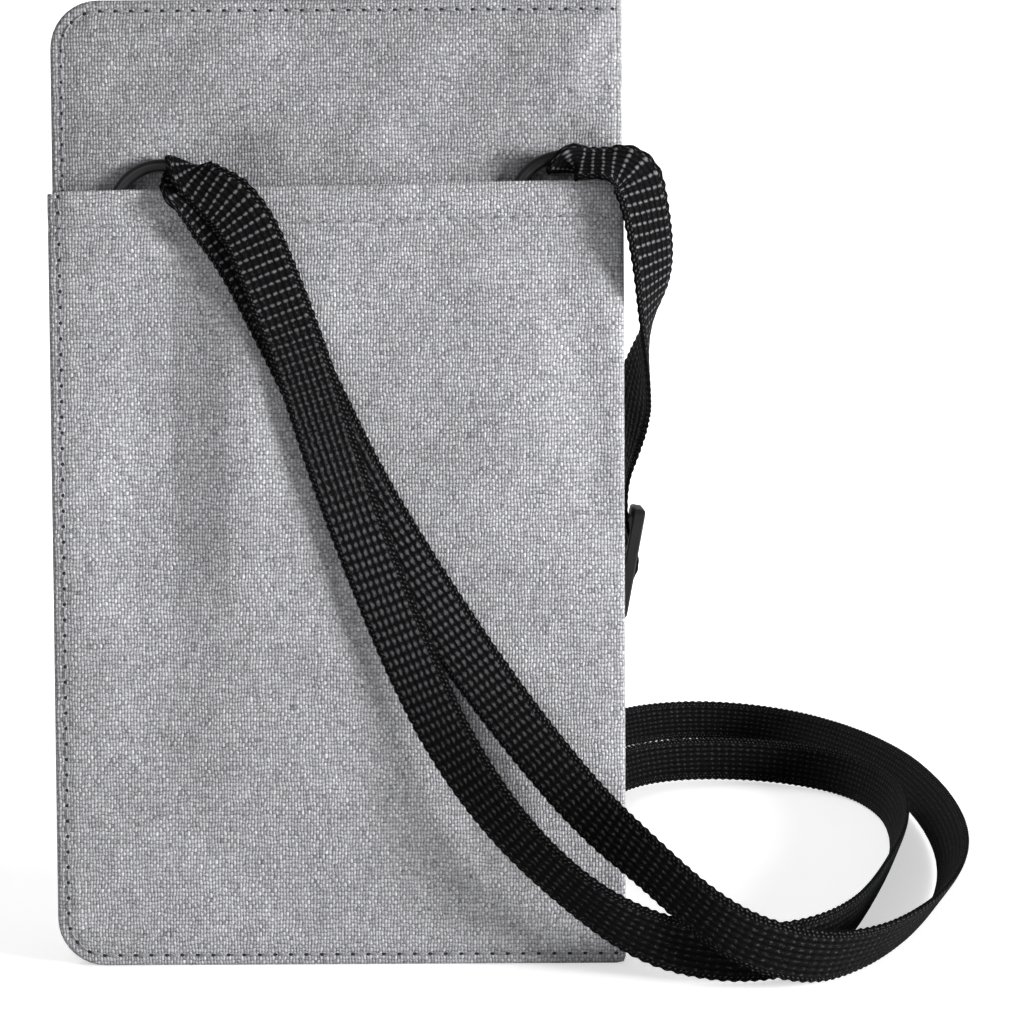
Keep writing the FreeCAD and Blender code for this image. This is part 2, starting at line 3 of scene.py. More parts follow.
import bmesh
import bpy
import numpy as np
from bpy.props import FloatProperty, FloatVectorProperty, PointerProperty
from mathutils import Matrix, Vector


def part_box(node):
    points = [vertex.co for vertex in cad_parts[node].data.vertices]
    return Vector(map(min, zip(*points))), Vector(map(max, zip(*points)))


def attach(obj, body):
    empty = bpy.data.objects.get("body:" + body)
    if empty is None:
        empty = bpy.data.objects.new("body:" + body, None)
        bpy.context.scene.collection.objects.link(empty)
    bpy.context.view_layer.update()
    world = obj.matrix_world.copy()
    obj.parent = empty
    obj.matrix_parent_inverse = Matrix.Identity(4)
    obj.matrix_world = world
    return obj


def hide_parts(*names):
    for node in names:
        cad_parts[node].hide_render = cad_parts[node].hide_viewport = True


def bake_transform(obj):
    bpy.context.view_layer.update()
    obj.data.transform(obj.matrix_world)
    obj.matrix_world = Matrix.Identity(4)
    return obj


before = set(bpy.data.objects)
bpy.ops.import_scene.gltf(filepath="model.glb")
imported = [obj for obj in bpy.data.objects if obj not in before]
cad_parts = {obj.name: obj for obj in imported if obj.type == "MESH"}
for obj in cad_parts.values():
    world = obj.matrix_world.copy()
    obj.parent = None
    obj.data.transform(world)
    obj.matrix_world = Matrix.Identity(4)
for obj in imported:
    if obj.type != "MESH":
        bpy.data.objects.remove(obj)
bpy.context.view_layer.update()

bl_info = {
    "name": "Neck Pouch Wallet",
    "version": (1, 0, 0),
    "blender": (4, 5, 0),
    "location": "3D View > Sidebar > Pouch",
    "description": "Canvas, webbing, stitching and hardware of a zip-around neck pouch wallet",
    "category": "Object",
}

# Everything is in metres. The wallet stands on its bottom edge: +Z is up, the slip pocket
# faces -Y, the folded spine is at +X and the free edge at -X.
MM = 0.001

COVER_LOW, COVER_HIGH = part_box("back_cover_canvas")
FRONT_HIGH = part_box("front_cover_canvas")[1]
POCKET_LOW, POCKET_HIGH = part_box("slip_pocket_panel")
BACK_LINING_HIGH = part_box("back_cover_lining")[1]
FRONT_LINING_LOW, FRONT_LINING_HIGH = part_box("front_cover_lining")
SPINE_LOW, SPINE_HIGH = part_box("spine_canvas")

LEFT, RIGHT, TOP = COVER_LOW.x, COVER_HIGH.x, COVER_HIGH.z
CORNER = 10 * MM                 # radius of the two free corners
MOUTH_DROP = 2 * MM              # fall of the pocket's mouth towards the free edge
TURN_IN = 3 * MM                 # strip of canvas turned under the lining
HEM_DEPTH = 7 * MM               # canvas turned over inside the pocket's mouth
HEM_SEAM = 7.3 * MM              # depth of the hem's stitches below the mouth
SPINE_FOLD = 1.8 * MM            # radius of the spine's front edge
COVER_FOLD = 2.0 * MM            # radius of the front cover's fold round that edge
THREAD_RISE = 0.10 * MM          # how far the stitches' arches stand off the cloth
HOLE_SINK = 0.02 * MM            # how deep the needle holes sit in it
RING_WIRE = 1.3 * MM             # radius of the rings' wire
RING_LEAN = math.radians(3.5)    # lean of the rings with the cover behind them
BEAD = 0.5 * MM                  # radius of the cord in each zip tape's edge

# Route of the strap, in metres: x, y, z, then the way its upper edge points, as a
# heading from +X towards +Y and a rise above level, in degrees.
STRAP_ROUTE = [
    # lapped end behind the right ring, round its wire
    (0.0476, -0.0084, 0.1672, 180, 0),
    (0.0475, -0.0067, 0.1678, 180, 0),
    (0.0473, -0.0067, 0.1638, 180, 0),
    (0.0473, -0.0114, 0.1646, 180, 0),
    (0.0482, -0.0128, 0.1658, 175, 14),
    (0.051, -0.0132, 0.1652, 150, 35),
    (0.055, -0.0136, 0.1652, 90, 45),
    # over the spine edge and down beside it
    (0.0586, -0.0138, 0.1648, 35, 50),
    (0.0614, -0.0137, 0.1626, 24, 28),
    (0.063, -0.0134, 0.1575, 34, 14),
    (0.0643, -0.0126, 0.1505, 38, 8),
    (0.0651, -0.0106, 0.144, 46, 8),
    (0.0652, -0.007, 0.138, 60, 8),
    (0.0644, -0.0015, 0.131, 86, 12),
    (0.0634, 0.008, 0.1226, 108, 15),
    (0.0624, 0.0185, 0.1156, 122, 12),
    (0.0618, 0.0265, 0.107, 108, 5),
    (0.0612, 0.03, 0.098, 90, 0),
    # through the strap slider and over its middle bar
    (0.061, 0.03, 0.0883, 90, 0),
    (0.0636, 0.03, 0.0823, 90, 0),
    (0.0634, 0.03, 0.0768, 90, 0),
    (0.058, 0.03, 0.0724, 90, 0),
    (0.0584, 0.0302, 0.0642, 90, 0),
    # down behind the spine to the floor
    (0.0592, 0.032, 0.052, 90, 5),
    (0.0595, 0.037, 0.0375, 90, 20),
    (0.06, 0.047, 0.023, 90, 40),
    (0.0603, 0.062, 0.012, 90, 65),
    (0.0608, 0.083, 0.0067, 90, 85),
    (0.0602, 0.108, 0.0062, 180, 88),
    (0.0612, 0.132, 0.0062, 150, 85),
    # inner loop, standing on its edge
    (0.066, 0.152, 0.0062, 120, 80),
    (0.079, 0.165, 0.0062, 100, 78),
    (0.097, 0.168, 0.0062, 85, 78),
    (0.116, 0.161, 0.0062, 60, 76),
    (0.131, 0.145, 0.0061, 35, 74),
    (0.137, 0.121, 0.006, 10, 72),
    (0.1355, 0.093, 0.006, -10, 70),
    (0.1295, 0.064, 0.0059, -20, 68),
    (0.121, 0.037, 0.0059, -30, 68),
    (0.113, 0.014, 0.0059, -40, 68),
    (0.106, -0.003, 0.006, -50, 70),
    (0.097, -0.0175, 0.0062, -60, 78),
    (0.0865, -0.0238, 0.0062, -75, 84),
    (0.0755, -0.0242, 0.0064, -80, 84),
    # rising in front of the pocket to the left ring
    (0.0625, -0.024, 0.0094, -78, 72),
    (0.048, -0.0235, 0.0185, -60, 46),
    (0.034, -0.02, 0.0315, -45, 37),
    (0.0228, -0.017, 0.0475, -30, 30),
    (0.0145, -0.0154, 0.065, -20, 25),
    (0.007, -0.0148, 0.084, -15, 22),
    (0.0002, -0.0146, 0.103, -10, 20),
    (-0.0056, -0.0146, 0.122, -8, 18),
    (-0.0101, -0.0149, 0.1348, -4, 22),
    (-0.014, -0.0152, 0.1449, 0, 22),
    (-0.0169, -0.0153, 0.1519, -6, 25),
    (-0.0206, -0.0151, 0.1572, -12, 28),
    (-0.0254, -0.0143, 0.1608, -14, 24),
    (-0.0294, -0.0126, 0.1638, -8, 0),
    # fold over the left ring's wire and the pocket edge
    (-0.0308, -0.0098, 0.1659, 0, -26),
    (-0.0314, -0.0072, 0.166, 0, -26),
    (-0.0316, -0.0067, 0.1632, 0, -20),
    (-0.0316, -0.0096, 0.1614, 0, -10),
    (-0.0312, -0.0122, 0.1602, 0, 4),
    # second strand, behind the first and crossing it
    (-0.028, -0.013, 0.1588, 0, 18),
    (-0.023, -0.0129, 0.1534, 0, 32),
    (-0.0176, -0.0127, 0.1454, 0, 32),
    (-0.0124, -0.0125, 0.135, 0, 30),
    (-0.0055, -0.0124, 0.121, 0, 28),
    (0.004, -0.0125, 0.101, -5, 28),
    (0.0145, -0.0132, 0.0835, -10, 30),
    (0.026, -0.0144, 0.066, -15, 33),
    (0.0385, -0.0162, 0.049, -25, 38),
    (0.0515, -0.0189, 0.0338, -32, 44),
    (0.0625, -0.0262, 0.0254, -54, 60),
    (0.0712, -0.0297, 0.018, -72, 68),
    (0.0795, -0.0318, 0.0124, -76, 74),
    (0.088, -0.032, 0.009, -78, 76),
    # outer loop, leaning outwards
    (0.097, -0.0292, 0.0068, -70, 70),
    (0.106, -0.0215, 0.0058, -60, 60),
    (0.1155, -0.0095, 0.0055, -50, 56),
    (0.1265, 0.01, 0.0054, -38, 54),
    (0.1358, 0.034, 0.0054, -24, 54),
    (0.1423, 0.06, 0.0054, -14, 54),
    (0.146, 0.088, 0.0055, -6, 56),
    (0.1472, 0.12, 0.0056, 6, 58),
    (0.1452, 0.154, 0.0058, 20, 62),
    (0.1366, 0.19, 0.0058, 40, 65),
    (0.1205, 0.219, 0.0059, 70, 68),
    (0.0965, 0.2315, 0.0061, 100, 74),
    (0.073, 0.221, 0.0062, 125, 80),
    (0.059, 0.195, 0.0062, 150, 84),
    (0.0556, 0.164, 0.0062, 170, 88),
    (0.0548, 0.133, 0.0062, 180, 88),
    (0.0554, 0.103, 0.0066, 90, 85),
    (0.0552, 0.076, 0.0105, 90, 70),
    (0.0556, 0.0555, 0.022, 90, 48),
    (0.056, 0.0425, 0.037, 90, 22),
    (0.0563, 0.0345, 0.052, 90, 5),
    (0.0571, 0.0306, 0.0622, 90, 0),
    # sewn round the middle bar of the strap slider
    (0.0559, 0.03, 0.0706, 90, 0),
    (0.0598, 0.03, 0.0774, 90, 0),
    (0.0605, 0.03, 0.0818, 90, 0),
    (0.0623, 0.03, 0.0823, 90, 0),
]


class PouchCanvasSettings(bpy.types.PropertyGroup):
    pale_yarn: FloatVectorProperty(name="Pale yarn", description="Colour of the lighter canvas yarn",
                                   subtype="COLOR", min=0, max=1, default=(0.72, 0.72, 0.75))
    dark_yarn: FloatVectorProperty(name="Dark yarn", description="Colour of the darker canvas yarn",
                                   subtype="COLOR", min=0, max=1, default=(0.16, 0.16, 0.172))
    warp_pitch: FloatProperty(name="Warp pitch", description="Distance between the canvas's upright yarns",
                              unit="LENGTH", min=0.0003, max=0.002, default=0.000635)
    weft_pitch: FloatProperty(name="Weft pitch", description="Distance between the canvas's level yarns",
                              unit="LENGTH", min=0.0003, max=0.002, default=0.000847)
    thickness: FloatProperty(name="Canvas thickness", description="Thickness of the canvas",
                             unit="LENGTH", min=0.0002, max=0.001, default=0.0005)
    edge_round: FloatProperty(name="Edge rounding", description="Radius at which canvas turns over an edge",
                              unit="LENGTH", min=0.0005, max=0.002, default=0.0012)
    grid: FloatProperty(name="Cloth grid", description="Spacing of the cloth surfaces' points",
                        unit="LENGTH", min=0.0005, max=0.003, default=0.001)


class PouchStitchSettings(bpy.types.PropertyGroup):
    pitch: FloatProperty(name="Stitch length", description="Distance from one needle hole to the next",
                         unit="LENGTH", min=0.002, max=0.005, default=0.0032)
    inset: FloatProperty(name="Stitch inset", description="Distance of the topstitching from the edge",
                         unit="LENGTH", min=0.001, max=0.006, default=0.0025)
    thread: FloatProperty(name="Thread", description="Thickness of the sewing thread",
                          unit="LENGTH", min=0.0002, max=0.001, default=0.00042)
    colour: FloatVectorProperty(name="Thread colour", description="Colour of the sewing thread",
                                subtype="COLOR", min=0, max=1, default=(0.30, 0.30, 0.32))


class PouchStrapSettings(bpy.types.PropertyGroup):
    width: FloatProperty(name="Webbing width", description="Width of the neck strap",
                         unit="LENGTH", min=0.008, max=0.02, default=0.012)
    thickness: FloatProperty(name="Webbing thickness", description="Thickness of the neck strap",
                             unit="LENGTH", min=0.0008, max=0.002, default=0.0013)
    width_in_ring: FloatProperty(name="Width in a ring", description="Width of the webbing inside a ring",
                                 unit="LENGTH", min=0.005, max=0.012, default=0.008)
    row_pitch: FloatProperty(name="Row pitch", description="Distance between rows of the webbing's weave",
                             unit="LENGTH", min=0.001, max=0.004, default=0.0021)
    column_pitch: FloatProperty(name="Column pitch", description="Distance between the webbing's columns",
                                unit="LENGTH", min=0.0008, max=0.003, default=0.0014)
    border: FloatProperty(name="Border", description="Width of the braided border at each edge",
                          unit="LENGTH", min=0, max=0.003, default=0.0013)
    colour: FloatVectorProperty(name="Webbing colour", description="Colour of the webbing's yarn",
                                subtype="COLOR", min=0, max=1, default=(0.009, 0.009, 0.0095))


class PouchStageSettings(bpy.types.PropertyGroup):
    floor: FloatVectorProperty(name="Floor", description="Colour of the floor and the backdrop",
                               subtype="COLOR", min=0, max=1, default=(0.85, 0.85, 0.85))
    key_power: FloatProperty(name="Key light", description="Power of the large soft light",
                             unit="POWER", min=0, max=80, default=17.0)
    fill_power: FloatProperty(name="Fill light", description="Power of the fill light",
                              unit="POWER", min=0, max=80, default=1.7)
    back_power: FloatProperty(name="Back light", description="Power of the light behind",
                              unit="POWER", min=0, max=80, default=6.0)


def settings():
    """The four groups of sizes and colours."""
    scene = bpy.context.scene
    return scene.pouch_canvas, scene.pouch_stitch, scene.pouch_strap, scene.pouch_stage


# ---- mesh helpers ----

def new_piece(name, points, faces, uv, material, weld=False):
    """Smooth mesh object from arrays of points and of quads; uv has one pair in millimetres for each
    point, and weld joins the points that meet."""
    points = np.asarray(points, float).reshape(-1, 3)
    faces = np.asarray(faces, np.int64).reshape(len(faces), -1)
    mesh = bpy.data.meshes.new(name)
    mesh.from_pydata(points, [], faces.tolist())
    if uv is not None:
        layer = mesh.uv_layers.new(name="cloth")
        layer.data.foreach_set("uv", np.asarray(uv, float).reshape(-1, 2)[faces.ravel()].ravel())
    mesh.polygons.foreach_set("use_smooth", np.full(len(mesh.polygons), True))
    if weld:
        work = bmesh.new()
        work.from_mesh(mesh)
        bmesh.ops.remove_doubles(work, verts=work.verts, dist=1e-7)
        work.to_mesh(mesh)
        work.free()
    mesh.materials.append(material)
    mesh.update()
    piece = bpy.data.objects.new(name, mesh)
    bpy.context.collection.objects.link(piece)
    return piece


def quads(index, flip=False):
    """Quads between the neighbours of a grid of point numbers."""
    a, b = index[:-1, :-1].ravel(), index[:-1, 1:].ravel()
    c, d = index[1:, 1:].ravel(), index[1:, :-1].ravel()
    return np.stack([a, d, c, b] if flip else [a, b, c, d], axis=1)


def grid_piece(name, points, uv, material, flip=False, weld=False):
    """Surface on one grid of points, rows by columns."""
    rows, columns = points.shape[:2]
    index = np.arange(rows * columns).reshape(rows, columns)
    return new_piece(name, points, quads(index, flip), uv, material, weld=weld)


def thicken(piece, thickness):
    """Gives a sheet its thickness on its inner side."""
    shell = piece.modifiers.new("thickness", "SOLIDIFY")
    shell.thickness = thickness
    shell.offset = -1.0
    return piece


def close_shell(piece):
    """Fills a shell's open ends and turns all its faces outwards."""
    work = bmesh.new()
    work.from_mesh(piece.data)
    bmesh.ops.holes_fill(work, edges=[edge for edge in work.edges if edge.is_boundary], sides=0)
    bmesh.ops.recalc_face_normals(work, faces=work.faces)
    work.to_mesh(piece.data)
    work.free()
    return piece


def repeated(name, base, base_faces, origins, frames, material):
    """One small shape at many places: point = origin + its x, y, z along that place's three axes."""
    points = origins[:, None, :] + np.einsum("kc,nca->nka", base, frames)
    steps = np.arange(len(origins))[:, None, None] * len(base)
    faces = (base_faces[None] + steps).reshape(-1, base_faces.shape[1])
    return new_piece(name, points, faces, None, material)


def spread(*parts):
    """Points or uv of a grid, from coordinates that vary along one of its ways, both or neither."""
    return np.stack(np.broadcast_arrays(*parts), -1)


def wrapped(rings, sides):
    """Point numbers of a tube's grid, with its first column again at the end."""
    index = np.arange(rings * sides).reshape(rings, sides)
    return np.concatenate([index, index[:, :1]], axis=1)


def unit(vectors):
    """The vectors brought to length 1."""
    return vectors / np.maximum(np.linalg.norm(vectors, axis=-1, keepdims=True), 1e-12)


def lengths(points):
    """Distance of each point from the first, along the run."""
    return np.concatenate([[0], np.cumsum(np.linalg.norm(np.diff(points, axis=0), axis=1))])


def resample(places, run, values):
    """Rows of values, known at the distances in run, read at other places."""
    return np.stack([np.interp(places, run, column) for column in values.T], axis=1)


def along(points, step):
    """Points about a step apart along a run of points."""
    run = lengths(points)
    places = np.linspace(0, run[-1], max(2, int(round(run[-1] / step)) + 1))
    return resample(places, run, points)


def ease(share):
    """0 to 1 with level ends: 3 s^2 - 2 s^3."""
    return share * share * (3 - 2 * share)


def bell(value, width):
    """1 in the middle and falling away as exp(-(value / width)^2)."""
    return np.exp(-(value / width) ** 2)


def read_off(value, *pairs):
    """Height of a line drawn through pairs of place and height, its places in millimetres."""
    places, heights = np.array(pairs, float).T
    return np.interp(value / MM, places, heights)


def thread_loop(length, radius, sides=6, rings=7):
    """A stitch: a round thread along x that dives into the cloth at both ends. Its centre line is
    a flat arch, z = radius * (0.7 - 2.2 * |t| ** 5) for t from -1 to 1, and its section a circle."""
    t = np.linspace(-1, 1, rings)[:, None]
    turn = np.linspace(0, 2 * np.pi, sides, endpoint=False)[None, :]
    slim = radius * (1 - 0.25 * np.abs(t) ** 3)
    x = t * length / 2
    y = slim * np.cos(turn)
    z = radius * (0.7 - 2.2 * np.abs(t) ** 5) + slim * 0.8 * np.sin(turn)
    return spread(x, y, z).reshape(-1, 3), quads(wrapped(rings, sides), flip=True)


def needle_hole(size, sides=8, rings=3):
    """A needle hole: a shallow dome in a dark colour that paints the shade inside the hole, its radius
    falling as the cosine.
    """
    turn = np.linspace(0, 2 * np.pi, sides, endpoint=False)[None, :]
    rise = np.linspace(0, np.pi / 2 * 0.98, rings)[:, None]
    x = size * np.cos(rise) * np.cos(turn)
    y = size * np.cos(rise) * np.sin(turn)
    z = size * 0.25 * np.sin(rise)
    return spread(x, y, z).reshape(-1, 3), quads(wrapped(rings, sides))


# ---- outline of the book ----

def book_grid(inset, right, mouth, step):
    """Grid over the outline, inset from it. Rows climb from the bottom; the left end of a row
    follows the corner arc, left + radius - sqrt(radius^2 - drop^2). Where mouth gives the height of
    the top, rows lean towards it with the square of their height."""
    radius = CORNER - inset
    turn = np.linspace(0, np.pi / 2, 10)
    lower = inset + radius * (1 - np.cos(turn))
    full = mouth is None
    upper = TOP - lower[::-1] if full else np.array([POCKET_HIGH.z - MOUTH_DROP])
    rise = np.concatenate([lower, np.arange(lower[-1] + step, upper[0] - step / 2, step), upper])
    drop = np.maximum(np.maximum(inset + radius - rise, rise - (TOP - inset - radius)), 0)
    start = LEFT + inset + radius - np.sqrt(np.maximum(radius ** 2 - drop ** 2, 0))
    share = np.linspace(0, 1, int((right - inset - LEFT) / step))
    x = start[:, None] + (right - inset - start)[:, None] * share[None, :]
    z = np.repeat(rise[:, None], len(share), axis=1)
    if not full:
        z = z + (mouth(x) - rise[-1]) * ((z - inset) / (rise[-1] - inset)) ** 2
    return x, z


def edge_distance(x, z):
    """Distance from the free outline: radius minus the distance to the rounded rectangle's core."""
    low_x = LEFT + CORNER
    out_x = np.maximum(low_x - x, 0)
    out_z = np.maximum(np.abs(z - TOP / 2) - (TOP / 2 - CORNER), 0)
    return CORNER - np.hypot(out_x, out_z)


def outward(x, z):
    """Direction away from the outline's core, in the plane of the cover."""
    core_x = np.clip(x, LEFT + CORNER, RIGHT)
    core_z = np.clip(z, CORNER, TOP - CORNER)
    return unit(spread(x - core_x, z - core_z))


def pocket_mouth(x):
    """Height of the slip pocket's sloping mouth."""
    return POCKET_HIGH.z - MOUTH_DROP * (RIGHT - x) / (RIGHT - LEFT)


def soft_waves(x, z):
    """Slow unevenness of cloth: a sum of sines of different lengths and headings."""
    waves = ((0.11, 0.07, 0.3, 0.10), (-0.05, 0.16, 1.9, 0.07), (0.21, -0.12, 4.1, 0.05),
             (0.31, 0.26, 2.2, 0.025), (-0.42, 0.33, 0.9, 0.018))
    total = 0 * x
    for along_x, along_z, phase, height in waves:
        total = total + height * np.sin(along_x * x / MM + along_z * z / MM + phase)
    return total * MM


def crease(x, z, start, end, width, height):
    """A soft crease: height times a bell across the line from start to end, fading at its ends."""
    ax, az = start
    run = np.hypot(end[0] - ax, end[1] - az)
    ux, uz = (end[0] - ax) / run, (end[1] - az) / run
    share = ((x / MM - ax) * ux + (z / MM - az) * uz) / run
    off = (x / MM - ax) * -uz + (z / MM - az) * ux
    fade = np.clip(np.minimum(share, 1 - share) * 4 + 0.5, 0, 1)
    return height * MM * bell(off, width) * ease(fade)


def stitch_groove(distance, inset):
    """Dent along a seam: a narrow bell at the stitches and a lower swell on both sides."""
    near = (distance - inset) / MM
    return MM * (0.22 * bell(near, 0.7) - 0.05 * bell(np.abs(near) - 2.2, 1.2))


# ---- materials ----

class Finish:
    """A node material being built: short calls that add nodes and join them."""

    def __init__(self, name, roughness, specular=0.3):
        """Starts the material from a plain shader."""
        self.material = bpy.data.materials.new(name)
        self.material.use_nodes = True
        self.tree = self.material.node_tree
        self.shader = self.tree.nodes["Principled BSDF"]
        self.shader.inputs["Roughness"].default_value = roughness
        self.shader.inputs["Specular IOR Level"].default_value = specular

    def put(self, socket, value):
        """Joins a node's output to the socket, or sets the socket to a plain value."""
        if isinstance(value, bpy.types.NodeSocket):
            self.tree.links.new(value, socket)
        else:
            socket.default_value = value

    def math(self, operation, first, second=0.0, third=0.0):
        """One sum on up to three values."""
        node = self.tree.nodes.new("ShaderNodeMath")
        node.operation = operation
        for socket, value in zip(node.inputs, (first, second, third)):
            self.put(socket, value)
        return node.outputs[0]

    def times(self, first, second):
        """First times second."""
        return self.math("MULTIPLY", first, second)

    def plus(self, first, second):
        """First plus second."""
        return self.math("ADD", first, second)

    def minus(self, first, second):
        """First less second."""
        return self.math("SUBTRACT", first, second)

    def fit(self, value, gain, offset):
        """Value times gain, plus offset."""
        return self.math("MULTIPLY_ADD", value, gain, offset)

    def cloth_axes(self, across, along):
        """The cloth's own two coordinates, in yarns, from its UV map in millimetres."""
        uv = self.tree.nodes.new("ShaderNodeUVMap")
        uv.uv_map = "cloth"
        parts = self.split(uv.outputs[0])
        return self.times(parts[0], 1 / across), self.times(parts[1], 1 / along), uv.outputs[0]

    def split(self, vector):
        """The three parts of a vector."""
        node = self.tree.nodes.new("ShaderNodeSeparateXYZ")
        self.put(node.inputs[0], vector)
        return node.outputs

    def combine(self, x, y, z=0.0):
        """A vector from its parts."""
        node = self.tree.nodes.new("ShaderNodeCombineXYZ")
        for socket, value in zip(node.inputs, (x, y, z)):
            self.put(socket, value)
        return node.outputs[0]

    def noise(self, vector, scale, detail=2.0, roughness=0.5):
        """Cloudy noise from 0 to 1; a larger scale makes it finer."""
        node = self.tree.nodes.new("ShaderNodeTexNoise")
        self.put(node.inputs["Vector"], vector)
        node.inputs["Scale"].default_value = scale
        node.inputs["Detail"].default_value = detail
        node.inputs["Roughness"].default_value = roughness
        return node.outputs["Fac"]

    def object_axes(self):
        """Place on the piece, in metres."""
        return self.tree.nodes.new("ShaderNodeTexCoord").outputs["Object"]

    def ramp(self, factor, stops):
        """Colours blended between stops, each a place from 0 to 1 and its colour."""
        node = self.tree.nodes.new("ShaderNodeValToRGB")
        self.put(node.inputs[0], factor)
        elements = node.color_ramp.elements
        while len(elements) < len(stops):
            elements.new(0.5)
        for element, (place, colour) in zip(elements, stops):
            element.position = place
            element.color = (*colour, 1)
        return node.outputs[0]

    def shades(self, factor, colour, *stops):
        """Shades of one colour: each stop is its place and how many times the colour it has."""
        return self.ramp(factor, [(place, [min(1, level * c) for c in colour]) for place, level in stops])

    def mix(self, factor, first, second, blend="MIX"):
        """Two colours mixed by the factor."""
        node = self.tree.nodes.new("ShaderNodeMix")
        node.data_type = "RGBA"
        node.blend_type = blend
        for number, value in ((0, factor), (6, first), (7, second)):
            self.put(node.inputs[number], value)
        return node.outputs[2]

    def bump(self, height, strength, distance, before=None):
        """Surface direction bent by a height, on top of an earlier bump."""
        node = self.tree.nodes.new("ShaderNodeBump")
        node.inputs["Strength"].default_value = strength
        node.inputs["Distance"].default_value = distance
        self.put(node.inputs["Height"], height)
        if before is not None:
            self.put(node.inputs["Normal"], before)
        return node.outputs[0]

    def finish(self, colour, normal=None, roughness=None):
        """Joins the results to the shader and returns the material."""
        self.put(self.shader.inputs["Base Color"], colour)
        if normal is not None:
            self.put(self.shader.inputs["Normal"], normal)
        if roughness is not None:
            self.put(self.shader.inputs["Roughness"], roughness)
        return self.material

    def sheen(self, weight, roughness=0.5):
        """Soft sheen of fibres seen edge on."""
        self.shader.inputs["Sheen Weight"].default_value = weight
        self.shader.inputs["Sheen Roughness"].default_value = roughness


def plain_weave(f, across, along):
    """Yarns over and under each other. Each cell's height is the cosine across the yarn on top, to
    the power 0.7, lowered towards its ends; the cells alternate with the sum of their two yarn
    numbers, which an even shift keeps above zero."""
    column = f.math("FLOOR", across)
    row = f.math("FLOOR", along)
    side = f.times(f.minus(f.math("FRACT", across), 0.5), math.pi)
    end = f.times(f.minus(f.math("FRACT", along), 0.5), math.pi)
    even_shift = 4000.0
    warp_over = f.math("MODULO", f.plus(f.plus(column, row), even_shift), 2.0)
    cos_side = f.math("COSINE", side)
    cos_end = f.math("COSINE", end)
    warp = f.times(f.math("POWER", cos_side, 0.7), f.fit(cos_end, 0.5, 0.5))
    weft = f.times(f.math("POWER", cos_end, 0.7), f.fit(cos_side, 0.5, 0.5))
    over = f.times(warp, warp_over)
    under = f.times(weft, f.minus(1.0, warp_over))
    return f.plus(over, under), warp_over, column, row


def gap(f, value):
    """1 on the line between two yarns, falling to 0 a quarter of a yarn away."""
    away = f.math("ABSOLUTE", f.minus(f.math("FRACT", value), 0.5))
    return f.math("SMOOTH_MAX", f.fit(away, 4.0, -1.0), 0.0, 0.2)


def wandering(f, across, along, uv, amount):
    """Lets the yarns wander a little, by slow noise on the cloth's coordinates."""
    drift = f.minus(f.noise(uv, 0.22, 3.0), 0.5)
    sway = f.minus(f.noise(uv, 0.31, 3.0), 0.5)
    return f.fit(drift, amount, across), f.fit(sway, amount, along)


def heather_canvas(name, canvas, level=1.0):
    """Grey canvas: pale and dark fibres mixed in each yarn, so that short lengths of the yarns differ in
    tone, with deep gaps between them. A level below 1 darkens the whole cloth as painted shade."""
    f = Finish(name, 0.85, 0.2)
    across, along, uv = f.cloth_axes(canvas.warp_pitch / MM, canvas.weft_pitch / MM)
    across, along = wandering(f, across, along, uv, 1.8)
    height, warp_over, column, row = plain_weave(f, across, along)
    # each yarn reads its own row of noise, far from its neighbour's and drawn out along the yarn
    slub = 0.22
    warp_tone = f.noise(f.combine(f.times(column, 7.31), f.times(along, slub)), 1.0, 3.0, 0.7)
    weft_tone = f.noise(f.combine(f.times(across, slub), f.times(row, 5.17), 9.0), 1.0, 3.0, 0.7)
    corner = f.times(gap(f, across), gap(f, along))
    tone = f.mix(warp_over, weft_tone, warp_tone)
    fibre = f.noise(uv, 2.0, 3.0, 0.8)
    tone = f.fit(f.minus(fibre, 0.5), 0.9, tone)
    middle = tuple(0.5 * a + 0.5 * b for a, b in zip(canvas.dark_yarn, canvas.pale_yarn))
    yarn = f.ramp(tone, ((0.24, canvas.dark_yarn), (0.5, middle), (0.82, canvas.pale_yarn)))
    cloud = f.noise(uv, 0.035, 3.0)
    # painted shade: the weave's lower parts and the gaps where yarns cross are darkened; the slow cloud
    # multiplied in below is random tone
    shade = f.fit(height, 0.45, 0.55)
    shade = f.times(shade, f.fit(corner, -0.8, 1.0))
    shade = f.times(shade, f.fit(cloud, 0.5, 0.75))
    # a level below 1 darkens every cell alike: painted shade for the covers' canvas
    shade = f.times(shade, f.fit(warp_over, 0.26 * level, 0.87 * level))
    colour = f.mix(1.0, yarn, f.combine(shade, shade, shade), "MULTIPLY")
    f.sheen(0.1)
    return f.finish(colour, f.bump(height, 0.6, 0.0003, f.bump(fibre, 0.3, 0.0001)))


